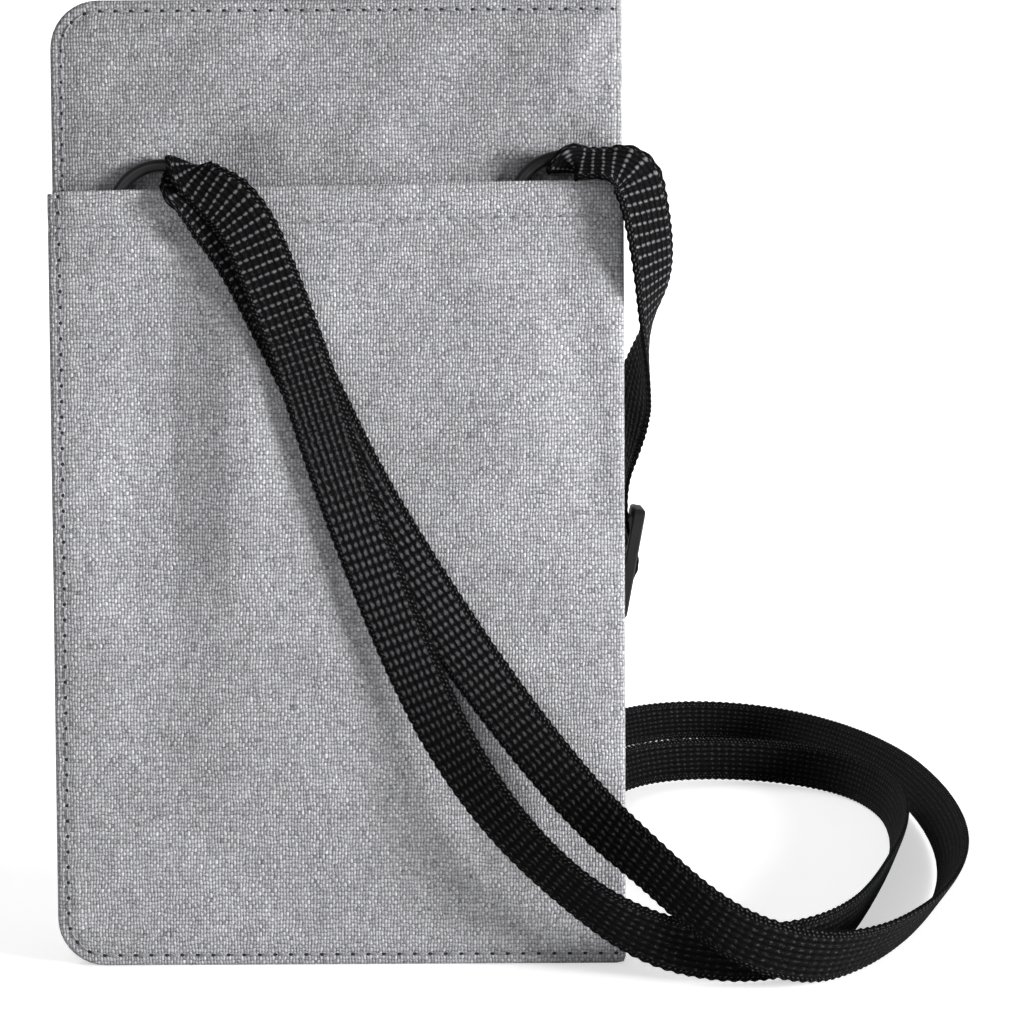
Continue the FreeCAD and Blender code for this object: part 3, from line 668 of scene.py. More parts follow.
def strap_webbing(name, strap):
    """Black webbing: rows of raised floats and a braided border along both edges. The floats' tips and flat
    backs are painted lighter as highlights, the tips more on the upper run and the backs more on the lower."""
    f = Finish(name, 0.7, 0.05)
    column = strap.column_pitch / MM
    row = strap.row_pitch / MM
    across, along, uv = f.cloth_axes(column, row)
    along = f.fit(f.minus(f.noise(uv, 0.5), 0.5), 0.2, along)
    streak = f.noise(f.combine(f.times(across, 4.0), f.times(along, 1.6)), 1.0, 3.0, 0.8)
    fuzz = f.noise(uv, 2.2, 4.0, 0.8)

    def swell(value, rate, power):
        """A wave from 0 to 1, (0.5 + 0.5 cos) to the power, rate times in each unit."""
        wave = f.math("COSINE", f.times(value, 2 * math.pi * rate))
        return f.math("POWER", f.fit(wave, 0.5, 0.5), power)

    tips = f.times(swell(across, 1.0, 0.3), swell(along, 1.0, 4.0))
    backs = f.times(swell(across, 1.0, 0.4), swell(f.plus(along, 0.5), 1.0, 0.45))
    lean = f.plus(f.times(across, 0.5), along)
    braid = f.times(swell(f.times(across, 4.0), 0.5, 0.6), swell(lean, 2.0, 0.8))
    border_starts = (strap.width / 2 - strap.border) / strap.column_pitch
    border = f.math("GREATER_THAN", f.math("ABSOLUTE", across), border_starts)
    # low climbs from 0 to 1 between 144 mm and 89 mm up; lift falls again towards the floor. Together they
    # move the bumps and the painted highlights from the floats' tips to their backs down the strap.
    upright = f.split(f.object_axes())[2]
    low = f.math("MINIMUM", f.math("MAXIMUM", f.fit(upright, -18.0, 2.6), 0.0), 1.0)
    lift = f.math("MINIMUM", low, f.fit(upright, 12.0, 0.2))
    inner = f.plus(f.times(tips, f.fit(low, -0.6, 0.85)),
                   f.times(backs, f.fit(lift, 0.38, 0.36)))
    weave = f.plus(f.times(inner, f.minus(1.0, border)),
                   f.times(braid, f.times(border, 0.6)))
    height = f.fit(f.minus(fuzz, 0.5), 0.9, weave)
    height = f.fit(f.minus(streak, 0.5), 0.8, height)
    # painted highlights: the weave's highest parts get up to thirty times the yarn's colour
    colour = f.shades(height, strap.colour, (0.1, 0.2), (0.42, 1.0), (1.0, 30.0))
    rough = f.fit(fuzz, 0.3, 0.5)
    return f.finish(colour, f.bump(height, 1.0, 0.0005), rough)


def sewing_thread(name, colour, roughness=0.7):
    """Spun thread: fine noise gives its plies their height and their tone."""
    f = Finish(name, roughness, 0.3)
    place = f.object_axes()
    ply = f.noise(place, 5200.0, 1.0)
    tone = f.shades(ply, colour, (0.3, 0.55), (0.7, 1.25))
    f.sheen(0.1)
    return f.finish(tone, f.bump(ply, 0.4, 0.0001))


def woven_tape(name, colour, pitch, ribs):
    """Fine plain weave whose level yarns are ribs times as far apart as its upright ones."""
    f = Finish(name, 0.8, 0.25)
    across, along, uv = f.cloth_axes(pitch, pitch * ribs)
    height, _, _, _ = plain_weave(f, across, along)
    fuzz = f.noise(uv, 3.0, 3.0, 0.7)
    level = f.fit(fuzz, 0.4, f.times(height, 0.7))
    tone = f.shades(level, colour, (0.15, 0.4), (0.8, 1.35))
    f.sheen(0.2)
    return f.finish(tone, f.bump(height, 0.6, 0.00015))


def moulded_plastic(name, colour, roughness, grain):
    """Moulded plastic: fine spark-eroded grain with a faint wear in its gloss."""
    f = Finish(name, roughness, 0.3)
    place = f.object_axes()
    fine = f.noise(place, grain, 3.0, 0.6)
    broad = f.noise(place, grain / 14, 2.0)
    tone = f.shades(broad, colour, (0.3, 0.8), (0.75, 1.3))
    rough = f.fit(broad, 0.2, roughness - 0.1)
    return f.finish(tone, f.bump(fine, 0.25, 0.00008), rough)


def painted_metal(name, colour, roughness):
    """Black painted metal: an even coat with faint orange peel and slightly worn gloss."""
    f = Finish(name, roughness, 0.3)
    place = f.object_axes()
    peel = f.noise(place, 1400.0, 2.0)
    wear = f.noise(place, 160.0, 4.0, 0.65)
    tone = f.shades(wear, colour, (0.35, 1.0), (0.8, 1.8))
    f.shader.inputs["Coat Weight"].default_value = 0.1
    f.shader.inputs["Coat Roughness"].default_value = 0.3
    rough = f.fit(wear, 0.25, roughness - 0.12)
    return f.finish(tone, f.bump(peel, 0.12, 0.00008), rough)


def grey_board(name):
    """Grey cover board: short pressed fibres and specks."""
    f = Finish(name, 0.9, 0.2)
    place = f.object_axes()
    fibre = f.noise(place, 900.0, 5.0, 0.75)
    tone = f.ramp(fibre, ((0.3, (0.28, 0.26, 0.23)), (0.7, (0.52, 0.49, 0.44))))
    return f.finish(tone, f.bump(fibre, 0.3, 0.0001))


def finishes():
    """All materials, made once and found again by name."""
    if "heather canvas" in bpy.data.materials:
        return bpy.data.materials
    canvas, stitch, strap, _ = settings()
    heather_canvas("pocket canvas", canvas)
    # the covers' canvas: the same cloth darkened to 0.86 as painted shade
    heather_canvas("heather canvas", canvas, 0.86)
    strap_webbing("strap webbing", strap)
    sewing_thread("grey thread", stitch.colour)
    sewing_thread("black thread", (0.03, 0.03, 0.032))
    woven_tape("black lining", (0.075, 0.075, 0.08), 0.35, 1.0)
    woven_tape("zip tape cloth", (0.035, 0.035, 0.037), 0.4, 1.6)
    moulded_plastic("zip tooth plastic", (0.022, 0.022, 0.023), 0.4, 1600.0)
    moulded_plastic("strap slider plastic", (0.012, 0.012, 0.0125), 0.52, 1900.0)
    painted_metal("black painted metal", (0.009, 0.009, 0.0095), 0.36)
    grey_board("grey board")
    # dark colours for the needle holes: painted shade inside each hole
    moulded_plastic("needle hole shade", (0.02, 0.02, 0.022), 0.9, 900.0)
    moulded_plastic("shallow hole shade", (0.1, 0.1, 0.105), 0.9, 900.0)
    return bpy.data.materials


# ---- canvas of the covers, the pocket and the spine ----

def rim_profile(radius, depth, turn_in):
    """Section of a cover's edge as (outward, depth) pairs: a quarter circle off the face, a straight
    side, and with turn_in a second quarter circle and a strip turned under."""
    turn = np.linspace(0, np.pi / 2, 6)[1:]
    out = [radius * np.sin(turn)]
    down = [radius * (1 - np.cos(turn))]
    if turn_in > 0:
        out += [radius * np.cos(turn), np.array([-turn_in / 2, -turn_in])]
        down += [depth - radius + radius * np.sin(turn), np.array([depth, depth])]
    else:
        out.append(np.full(3, radius))
        down.append(np.linspace(radius, depth, 4)[1:])
    return np.concatenate(out), np.concatenate(down)


def add_rim(points, uv, faces, parts, profile, facing):
    """Carries the rim's section along the grid's border: point = border + outward * direction, and
    its depth runs from the face towards the inside. Each part of the border is its point numbers
    and its direction, or None to follow the outline."""
    border, ways = [], []
    for part, way in parts:
        border.append(part)
        flat = points[part][:, [0, 2]]
        ways.append(outward(flat[:, 0], flat[:, 1]) if way is None else np.tile(way, (len(part), 1)))
    border = np.concatenate(border)
    ways = np.concatenate(ways)
    same = np.concatenate([[False], border[1:] == border[:-1]])
    ways[np.where(same)[0] - 1] = unit(ways[np.where(same)[0] - 1] + ways[same])
    border, ways = border[~same], ways[~same]
    out, down = profile
    start = points[border]
    strip = np.repeat(start[None], len(out), axis=0)
    strip[:, :, 0] += out[:, None] * ways[None, :, 0]
    strip[:, :, 2] += out[:, None] * ways[None, :, 1]
    strip[:, :, 1] += facing * down[:, None]
    arc = np.cumsum(np.hypot(np.diff(out, prepend=0), np.diff(down, prepend=0)))
    strip_uv = uv[border][None] + arc[:, None, None] * ways[None] / MM
    numbers = len(points) + np.arange(len(out) * len(border)).reshape(len(out), -1)
    numbers = np.concatenate([border[None], numbers])
    return (np.concatenate([points, strip.reshape(-1, 3)]), np.concatenate([uv, strip_uv.reshape(-1, 2)]),
            np.concatenate([faces, quads(numbers, flip=facing > 0)]))


def cover_sheet(name, face, depth, facing, right, relief):
    """Canvas over a cover: the face, its relief fading to nothing at the edges, the rounded rim
    round the free sides, and the strip turned under the lining."""
    canvas, _, _, _ = settings()
    r = canvas.edge_round
    x, z = book_grid(r, right + r, None, canvas.grid)
    x = np.minimum(x, right)
    y = face + facing * relief(x, z)
    points = spread(x, y, z).reshape(-1, 3)
    uv = spread(x, z).reshape(-1, 2) / MM
    index = np.arange(x.size).reshape(x.shape)
    parts = [(index[-1, ::-1], None), (index[::-1, 0], None), (index[0, :], None)]
    points, uv, faces = add_rim(points, uv, quads(index, flip=facing < 0), parts,
                                rim_profile(r, depth, TURN_IN), facing)
    piece = new_piece(name, points, faces, uv, finishes()["heather canvas"])
    thicken(piece, canvas.thickness)
    return piece


def edge_fade(x, z, reach):
    """0 on the outline and 1 from a given distance inwards, smooth between."""
    share = np.clip(np.minimum(edge_distance(x, z), RIGHT - x) / reach, 0, 1)
    return ease(share)


def folds(x, z, rows):
    """Soft creases added together: each row is its start, its end, its half width and its height,
    in millimetres."""
    return sum(crease(x, z, start, end, width, height) for start, end, width, height in rows)


def back_relief(x, z):
    """Relief of the back cover, positive into it: slow waves over a slight swell, long diagonal pulls
    from the top edge towards the rings, a dent at each ring, and the seam's dent."""
    _, stitch, _, _ = settings()
    pulls = folds(x, z, (((-54, 172), (-28, 196), 4.0, 0.45), ((-46, 166), (-14, 194), 4.5, -0.40),
                         ((2, 168), (22, 197), 5.0, -0.55), ((16, 166), (38, 198), 5.5, 0.60),
                         ((36, 166), (55, 192), 4.0, -0.50), ((-24, 166), (-6, 188), 5.0, 0.45),
                         ((40, 176), (56, 170), 3.5, 0.35), ((-20, 196), (14, 180), 6.0, 0.35)))
    for ring_x, ring_z, depth, width in ((-29, 166, 1.8, 10), (46, 166, 1.9, 11)):
        pulls = pulls + depth * MM * bell(np.hypot(x / MM - ring_x, z / MM - ring_z), width)
    swell = (0.9 * soft_waves(x, z) + pulls - 1.2 * MM) * edge_fade(x, z, 11 * MM)
    return swell + stitch_groove(edge_distance(x, z), stitch.inset)


def front_relief(x, z):
    """Relief of the front cover: slow waves over the board and the seam's dent."""
    _, stitch, _, _ = settings()
    swell = (0.8 * soft_waves(x + 0.03, z - 0.02) - 0.1 * MM) * edge_fade(x, z, 12 * MM)
    return swell + stitch_groove(edge_distance(x, z), stitch.inset)


def pocket_relief(x, z):
    """Relief of the slip pocket, positive into the pocket: drawn in along the seams and the mouth's
    hem, with a long valley below the left ring, a swelling along the spine side, a sag at the middle
    of the mouth, soft creases and slow waves."""
    _, stitch, _, _ = settings()
    distance = edge_distance(x, z)
    pinch = 0.9 * MM * np.exp(-np.maximum(distance, 0) / (2.4 * MM))
    below = pocket_mouth(x) - z
    hem = 0.40 * MM * bell(below - HEM_SEAM, 0.9 * MM) - 0.15 * MM * bell(below - HEM_DEPTH / 2, 2.2 * MM)
    creases = folds(x, z, (((-54, 151), (-26, 153), 1.5, 0.6), ((-12, 153.5), (28, 151.5), 1.4, 0.55),
                           ((20, 153), (56, 150), 1.8, 0.5), ((-52, 145), (-30, 150), 2.4, -0.30),
                           ((-46, 150), (-50, 70), 6.0, -0.3),
                           ((-16, 146), (-24, 74), 7.0, -0.50), ((-38, 155), (-6, 124), 3.5, 0.40),
                           ((46, 148), (56, 96), 6.0, 0.75), ((28, 150), (36, 108), 8.0, -0.45),
                           ((-50, 92), (-28, 26), 8.0, 0.45), ((-14, 64), (18, 28), 8.0, 0.35),
                           ((22, 90), (48, 62), 7.0, 0.40), ((8, 48), (52, 16), 9.0, -0.35)))
    valley = read_off(z, (20, 0), (60, 2.0), (85, 6.0), (125, 6.6), (138, 5.5), (148, 2.6), (160, 1.2))
    valley = valley * read_off(x, (-59, 0), (-50, 0.12), (-42, 0.27), (-34, 0.3), (-28, 0.1),
                               (-22, -0.12), (-17, -0.16), (-8, -0.1), (4, 0))
    swollen = read_off(x, (8, 0), (20, 0.2), (34, 0.75), (42, 1.0), (47, 0.96),
                       (52, 0.74), (56, 0.4), (59, 0))
    swollen = swollen * read_off(z, (0, 0), (40, 0.3), (80, 0.6), (110, 1.0), (140, 1.0), (162, 0.6))
    mouth_sag = 0.5 * bell(x - 4 * MM, 26 * MM) * np.exp(-below / (30 * MM))
    sag = (valley - swollen + mouth_sag) * MM
    swell = (1.1 * soft_waves(x * 1.1, z) + creases) * edge_fade(x, z, 8 * MM)
    return pinch + hem + sag + swell + stitch_groove(distance, stitch.inset)


class POUCH_OT_back_cover(bpy.types.Operator):
    """Canvas over the back cover, above and behind the slip pocket"""
    bl_idname = "pouch.back_cover"
    bl_label = "Back Cover Canvas"

    def execute(self, context):
        canvas, _, _, _ = settings()
        piece = cover_sheet("back_cover_cloth", COVER_LOW.y, BACK_LINING_HIGH.y - COVER_LOW.y, 1,
                            RIGHT - canvas.edge_round, back_relief)
        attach(piece, "back_half")
        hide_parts("back_cover_canvas")
        return {"FINISHED"}


class POUCH_OT_front_cover(bpy.types.Operator):
    """Canvas over the front cover, with the fold that joins it to the spine"""
    bl_idname = "pouch.front_cover"
    bl_label = "Front Cover Canvas"

    def execute(self, context):
        piece = cover_sheet("front_cover_cloth", FRONT_HIGH.y, FRONT_HIGH.y - FRONT_LINING_LOW.y, -1,
                            FRONT_HIGH.x, front_relief)
        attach(piece, "front_half")
        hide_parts("front_cover_canvas")
        fold = self.fold()
        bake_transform(fold)
        return {"FINISHED"}

    def fold(self):
        """The fold's section is a straight run, a quarter circle and a straight run, carried upwards
        and standing a hair off the cloth below it."""
        turn = np.linspace(0, np.pi / 2, 9)
        lift = 0.06 * MM
        centre_x, centre_y = RIGHT - COVER_FOLD, FRONT_HIGH.y - COVER_FOLD
        radius = COVER_FOLD + lift
        x = np.concatenate([[RIGHT + lift] * 3, centre_x + radius * np.cos(turn),
                            np.linspace(centre_x, FRONT_HIGH.x - 1.6 * MM, 5)[1:]])
        y = np.concatenate([np.linspace(centre_y - 2 * MM, centre_y, 4)[:-1],
                            centre_y + radius * np.sin(turn), [FRONT_HIGH.y + lift] * 4])
        z = np.linspace(0, TOP, 80)[:, None]
        piece = grid_piece("cover_fold_cloth", spread(x, y, z), spread(lengths(spread(x, y)), z) / MM,
                           finishes()["heather canvas"], flip=True)
        return thicken(piece, 0.4 * MM)


class POUCH_OT_spine(bpy.types.Operator):
    """Canvas spine, folded from the back cover to the front fold"""
    bl_idname = "pouch.spine"
    bl_label = "Spine Canvas"

    def execute(self, context):
        canvas, _, _, _ = settings()
        x, y = self.section(canvas.edge_round)
        z = np.concatenate([[0, 0.15, 0.5], np.linspace(1.2, TOP / MM - 1.2, 140),
                            [TOP / MM - 0.5, TOP / MM - 0.15, TOP / MM]])[:, None] * MM
        draw = read_off(np.minimum(z, TOP - z), (0, 0.5), (0.15, 0.2), (0.5, 0)) * MM
        px = x - np.sign(x - (RIGHT + SPINE_LOW.x) / 2) * draw
        py = y - np.sign(y - (COVER_LOW.y + SPINE_HIGH.y) / 2) * draw
        outer = (x > RIGHT - 0.05 * MM) & (draw < 1e-9)
        px = px - outer * np.abs(0.35 * soft_waves(py * 4, z))
        uv = spread(lengths(spread(x, y)) + RIGHT - canvas.edge_round, z) / MM
        piece = grid_piece("spine_cloth", spread(px, py, z), uv, finishes()["heather canvas"], weld=True)
        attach(close_shell(piece), "back_half")
        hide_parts("spine_canvas")
        return {"FINISHED"}

    def section(self, r):
        """The closed section: a quarter circle off the back, the straight spine, a quarter circle to
        the front and the inner side."""
        quarter = np.linspace(0, np.pi / 2, 7)
        face, front, inner = COVER_LOW.y, SPINE_HIGH.y, SPINE_LOW.x
        side = np.linspace(face + r, front - SPINE_FOLD, 16)[1:-1]
        soft = 0.3 * MM
        x = np.concatenate([RIGHT - r + r * np.sin(quarter), np.full(14, RIGHT),
                            RIGHT - SPINE_FOLD + SPINE_FOLD * np.cos(quarter),
                            [inner + soft, inner, inner, inner + soft]])
        y = np.concatenate([face + r - r * np.cos(quarter), side,
                            front - SPINE_FOLD + SPINE_FOLD * np.sin(quarter),
                            [front, front - soft, BACK_LINING_HIGH.y - 2 * soft, face + 2 * soft]])
        return np.append(x, x[0]), np.append(y, y[0])


class POUCH_OT_slip_pocket(bpy.types.Operator):
    """Slip pocket of canvas with its mouth turned over and hemmed"""
    bl_idname = "pouch.slip_pocket"
    bl_label = "Slip Pocket"

    def execute(self, context):
        canvas, _, _, _ = settings()
        r = canvas.edge_round
        fold = 0.5 * MM
        face = POCKET_LOW.y
        rest = COVER_LOW.y - 0.1 * MM
        x, z = book_grid(r, RIGHT, lambda at: pocket_mouth(at) - fold, 0.8 * canvas.grid)
        y = face + pocket_relief(x, z)
        turn = np.linspace(0, np.pi, 8)[1:, None]
        down = np.linspace(0, HEM_DEPTH, 9)[1:, None]
        fold_y = y[-1] + fold - fold * np.cos(turn)
        fold_z = z[-1] + fold * np.sin(turn)
        face_rows, hem_rows = len(x), len(turn) + len(down)
        x = np.concatenate([x, np.repeat(x[-1:], hem_rows, 0)])
        y = np.concatenate([y, fold_y, np.repeat(fold_y[-1:], len(down), 0)])
        arc = np.concatenate([z, z[-1:] + fold * turn, z[-1:] + fold * np.pi + down])
        z = np.concatenate([z, fold_z, fold_z[-1:] - down])
        points = spread(x, y, z).reshape(-1, 3)
        uv = spread(x, arc + 0.41 * MM).reshape(-1, 2) / MM
        index = np.arange(x.size).reshape(x.shape)
        front = index[:face_rows]
        parts = [(front[::-1, 0], None), (front[0], None), (front[:, -1], (1.0, 0.0))]
        points, uv, faces = add_rim(points, uv, quads(index), parts, rim_profile(r, rest - face, 0), 1)
        points[:, 1] = np.minimum(points[:, 1], rest)
        piece = new_piece("slip_pocket_cloth", points, faces, uv, finishes()["pocket canvas"])
        thicken(piece, 0.45 * MM)
        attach(piece, "back_half")
        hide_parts("slip_pocket_panel", "slip_pocket_hem")
        return {"FINISHED"}


# ---- topstitching ----

def outline_run(inset, right, step=0.5 * MM):
    """Points on the free outline, inset from it: along the top towards the free side, round the
    corners as quarter circles and along the bottom."""
    radius = CORNER - inset
    left, top = LEFT + inset, TOP - inset
    turn = np.linspace(0, np.pi / 2, 24)
    upper = spread(left + radius - radius * np.sin(turn), top - radius + radius * np.cos(turn))
    lower = spread(left + radius - radius * np.cos(turn), inset + radius - radius * np.sin(turn))
    flat = np.concatenate([[[right, top]], upper, lower, [[right, inset]]])
    return along(spread(flat[:, 0], 0.0, flat[:, 1]), step)


def seam(name, path, face, facing, relief, body, thread, hole="needle hole shade", size=0.52 * MM):
    """A row of topstitches: a thread arch and a needle hole at every stitch, lying on the relief."""
    _, stitch, _, _ = settings()
    at = along(path, stitch.pitch)
    middle = (at[:-1] + at[1:]) / 2
    way = unit(at[1:] - at[:-1])
    out, up = np.array([0.0, -facing, 0.0]), np.array([0.0, 0.0, 1.0])
    middle[:, 1] = face + facing * (relief(middle[:, 0], middle[:, 2]) - THREAD_RISE)
    at[:, 1] = face + facing * (relief(at[:, 0], at[:, 2]) + HOLE_SINK)
    frames = np.stack([way, np.cross(out, way), np.tile(out, (len(way), 1))], axis=1)
    arch, arch_faces = thread_loop(0.78 * stitch.pitch, stitch.thread / 2)
    piece = repeated(name, arch, arch_faces, middle, frames, finishes()[thread])
    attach(piece, body)
    dome, dome_faces = needle_hole(size)
    frames = np.tile([up, np.cross(out, up), out], (len(at), 1, 1))
    holes = repeated(name + "_holes", dome, dome_faces, at, frames, finishes()[hole])
    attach(holes, body)


class POUCH_OT_topstitching(bpy.types.Operator):
    """Topstitching round the free edges and along the pocket's hem"""
    bl_idname = "pouch.topstitching"
    bl_label = "Topstitching"

    def execute(self, context):
        _, stitch, _, _ = settings()
        end = RIGHT - 2.0 * MM
        whole = outline_run(stitch.inset, end)
        above = whole[whole[:, 2] > pocket_mouth(whole[:, 0]) + 0.3 * MM]
        below = whole[whole[:, 2] < pocket_mouth(whole[:, 0]) - 1.0 * MM]
        seam("back_edge_seam", above, COVER_LOW.y, 1, back_relief, "back_half", "grey thread")
        seam("pocket_edge_seam", below, POCKET_LOW.y, 1, pocket_relief, "back_half", "grey thread")
        front = outline_run(stitch.inset, FRONT_HIGH.x - 2 * MM)
        seam("front_edge_seam", front, FRONT_HIGH.y, -1, front_relief, "front_half", "grey thread")
        x = np.linspace(LEFT + 4 * MM, RIGHT - 4 * MM, 200)
        hem = spread(x, 0.0, pocket_mouth(x) - HEM_SEAM)
        seam("hem_seam", hem, POCKET_LOW.y, 1, pocket_relief, "back_half", "grey thread",
             "shallow hole shade", 0.26 * MM)
        return {"FINISHED"}


# ---- strap ----

def route_line(name, points):
    """Evenly read points of the smooth spline whose control points are the route's."""
    curve = bpy.data.curves.new(name, "CURVE")
    curve.dimensions = "3D"
    curve.resolution_u = 16
    spline = curve.splines.new("NURBS")
    spline.points.add(len(points) - 1)
    spline.points.foreach_set("co", np.c_[points, np.ones(len(points))].ravel())
    spline.order_u = 3
    spline.use_endpoint_u = True
    holder = bpy.data.objects.new(name, curve)
    mesh = bpy.data.meshes.new_from_object(holder)
    line = np.zeros(len(mesh.vertices) * 3)
    mesh.vertices.foreach_get("co", line)
    bpy.data.objects.remove(holder)
    bpy.data.curves.remove(curve)
    bpy.data.meshes.remove(mesh)
    return line.reshape(-1, 3)


def webbing(name, line, edge, width, thickness, row_pitch, curl, material, step):
    """Flat webbing along a line. Its section is a flattened oval, across = sign(cos) * |cos|^0.45 of
    half the width and deep = sign(sin) * |sin|^0.6 of half the thickness, its edges scalloped by a
    cosine of the length; curl hollows it with the square of across. Returns the piece and the points
    down its middle."""
    run = lengths(line)
    places = np.linspace(0, run[-1], int(run[-1] / step) + 1)
    at = resample(places, run, line)
    way = unit(np.gradient(at, axis=0))
    up = resample(places, run, edge)
    up = unit(up - way * np.sum(up * way, axis=1, keepdims=True))
    out = np.cross(way, up)
    wide = np.interp(places, run, width)
    bend = np.interp(places, run, curl)
    turn = np.linspace(0, 2 * np.pi, 25)
    cosine, sine = np.cos(turn), np.sin(turn)
    across = np.sign(cosine) * np.abs(cosine) ** 0.45
    deep = np.sign(sine) * np.abs(sine) ** 0.6
    rib = np.cos(2 * np.pi * places / row_pitch)
    half = wide / 2 + 0.17 * MM * rib
    off = across[None, :] * half[:, None]
    rise = deep[None, :] * (thickness / 2) * (1 + 0.10 * rib[:, None])
    rise = rise + bend[:, None] * (across[None, :] ** 2 - 0.4)
    points = at[:, None] + up[:, None] * off[..., None] + out[:, None] * rise[..., None]
    uv = spread(across * np.mean(wide) / 2, places[:, None]) / MM
    piece = grid_piece(name, points, uv, material, flip=True, weld=True)
    return close_shell(piece), at


def heading_vectors(rows):
    """Unit vectors from headings and rises in degrees."""
    heading, rise = np.radians(rows[:, 0]), np.radians(rows[:, 1])
    return np.stack([np.cos(heading) * np.cos(rise), np.sin(heading) * np.cos(rise), np.sin(rise)], 1)


class POUCH_OT_neck_strap(bpy.types.Operator):
    """Neck strap: one length of webbing from the right ring, through the left one, to its slider"""
    bl_idname = "pouch.neck_strap"
    bl_label = "Neck Strap"

    def execute(self, context):
        _, _, strap, _ = settings()
        rows = np.array(STRAP_ROUTE)
        route = rows[:, :3]
        line = route_line("strap route", route)
        guide = route_line("strap edge", route + heading_vectors(rows[:, 3:]) * strap.width / 2)
        near = np.full(len(line), 1.0)
        for name in ("left_ring", "right_ring"):
            low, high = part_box(name)
            crown = np.array([(low.x + high.x) / 2, 0, high.z - 1.2 * MM])
            near = np.minimum(near, np.linalg.norm((line - crown) * [1, 0, 1], axis=1))
        share = np.clip((near - 5 * MM) / (11 * MM), 0, 1)
        width = strap.width_in_ring + (strap.width - strap.width_in_ring) * share
        piece, at = webbing("neck_strap_webbing", line, guide - line, width, strap.thickness,
                            strap.row_pitch, 0.5 * MM * (1 - share), finishes()["strap webbing"],
                            0.5 * MM)
        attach(piece, "back_half")
        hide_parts("neck_strap")
        return {"FINISHED"}


# ---- hardware ----

class POUCH_OT_rings(bpy.types.Operator):
    """Two black rings and the webbing tabs that hold them"""
    bl_idname = "pouch.rings"
    bl_label = "Rings and Tabs"

    def execute(self, context):
        for side in ("left", "right"):
            low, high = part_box(side + "_ring")
            radius = (high.x - low.x) / 2 - 1.15 * MM
            centre = np.array([(low.x + high.x) / 2, (low.y + high.y) / 2, (low.z + high.z) / 2])
            self.ring(side, centre, radius)
            self.tab(side, centre, radius)
        return {"FINISHED"}

    def ring(self, side, centre, radius):
        """A torus: (R + r cos v) round the centre and r sin v along the leaning axis."""
        u = np.linspace(0, 2 * np.pi, 97)[:, None]
        v = np.linspace(0, 2 * np.pi, 21)[None, :]
        ring = radius + RING_WIRE * np.cos(v)
        x, up, deep = ring * np.cos(u), ring * np.sin(u), RING_WIRE * np.sin(v)
        y = deep * math.cos(RING_LEAN) - up * math.sin(RING_LEAN)
        z = deep * math.sin(RING_LEAN) + up * math.cos(RING_LEAN)
        piece = grid_piece(side + "_ring_wire", centre + spread(x, y, z), None,
                           finishes()["black painted metal"], weld=True)
        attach(close_shell(piece), side + "_ring")
        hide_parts(side + "_ring")

    def tab(self, side, centre, radius):
        """Webbing up the cover, round the ring's lowest wire and down again."""
        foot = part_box(side + "_ring_tab")[0].z
        wire_y = centre[1] + radius * math.sin(RING_LEAN)
        wire_z = centre[2] - radius * math.cos(RING_LEAN)
        bend = RING_WIRE + 0.45 * MM
        turn = np.linspace(0, np.pi * 1.12, 16)
        back, front = COVER_LOW.y - 0.3 * MM, COVER_LOW.y - 0.95 * MM
        y = np.concatenate([[back] * 3, wire_y + bend * np.cos(turn), [front] * 3])
        z = np.concatenate([[foot, foot + 8 * MM, wire_z - 0.2 * MM],
                            wire_z + 0.75 * MM + bend * np.sin(turn),
                            [wire_z - 3.4 * MM, foot + 8 * MM, foot]])
        line = along(spread(centre[0], y, z), 0.3 * MM)
        edge = np.tile([1.0, 0, 0], (len(line), 1))
        width = np.full(len(line), 7 * MM)
        piece, _ = webbing(side + "_tab_webbing", line, edge, width, 0.55 * MM, 1.2 * MM, 0 * width,
                           finishes()["strap webbing"], 0.3 * MM)
        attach(piece, "back_half")
        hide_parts(side + "_ring_tab")


def repaint(node, finish):
    """Gives a CAD node's mesh a finish in place of its plain one."""
    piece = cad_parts[node]
    piece.data.materials.clear()
    piece.data.materials.append(finishes()[finish])


class POUCH_OT_hardware(bpy.types.Operator):
    """Strap slider, zip slider, pull, teeth and cover boards in their own finishes"""
    bl_idname = "pouch.hardware"
    bl_label = "Hardware Finishes"

    def execute(self, context):
        for node, finish in (("strap_slider", "strap slider plastic"),
                             ("zip_slider_body", "black painted metal"),
                             ("zip_pull_tab", "black painted metal"),
                             ("zip_teeth_back", "zip tooth plastic"),
                             ("zip_teeth_front", "zip tooth plastic"),
                             ("back_cover_board", "grey board"),
                             ("front_cover_board", "grey board")):
            repaint(node, finish)
        return {"FINISHED"}


class POUCH_OT_zip_tapes(bpy.types.Operator):
    """Zip tapes standing along the free edges, each with a corded edge that holds the teeth"""
    bl_idname = "pouch.zip_tapes"
    bl_label = "Zip Tapes"

    def execute(self, context):
        for side, body in (("back", "back_half"), ("front", "front_half")):
            self.tape(side, body)
        return {"FINISHED"}

    def tape(self, side, body):
        """The section, a thin strip with a round bead at its free edge, is carried round the outline."""
        low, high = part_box("zip_tape_" + side)
        step = 0.8 * MM
        path = outline_run(low.x - LEFT + 0.3 * MM, high.x, step)
        way = unit(np.gradient(path, axis=0))
        out = spread(way[:, 2], 0.0, -way[:, 0])
        sewn, free = (low.y, high.y) if side == "back" else (high.y, low.y)
        sign = 1 if free > sewn else -1
        turn = np.linspace(-0.8, 0.8, 7) * np.pi
        half = 0.28 * MM
        x = np.concatenate([[-half], BEAD * np.sin(turn), [half, -half]])
        y = np.concatenate([[sewn], free - sign * BEAD + sign * BEAD * np.cos(turn), [sewn, sewn]])
        points = path[:, None] + out[:, None] * x[None, :, None]
        points[:, :, 1] = y[None, :]
        run = np.arange(len(path))[:, None] * step
        piece = grid_piece("zip_tape_cloth_" + side, points, spread(lengths(spread(x, y)), run) / MM,
                           finishes()["zip tape cloth"], weld=True)
        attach(close_shell(piece), body)
        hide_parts("zip_tape_" + side)


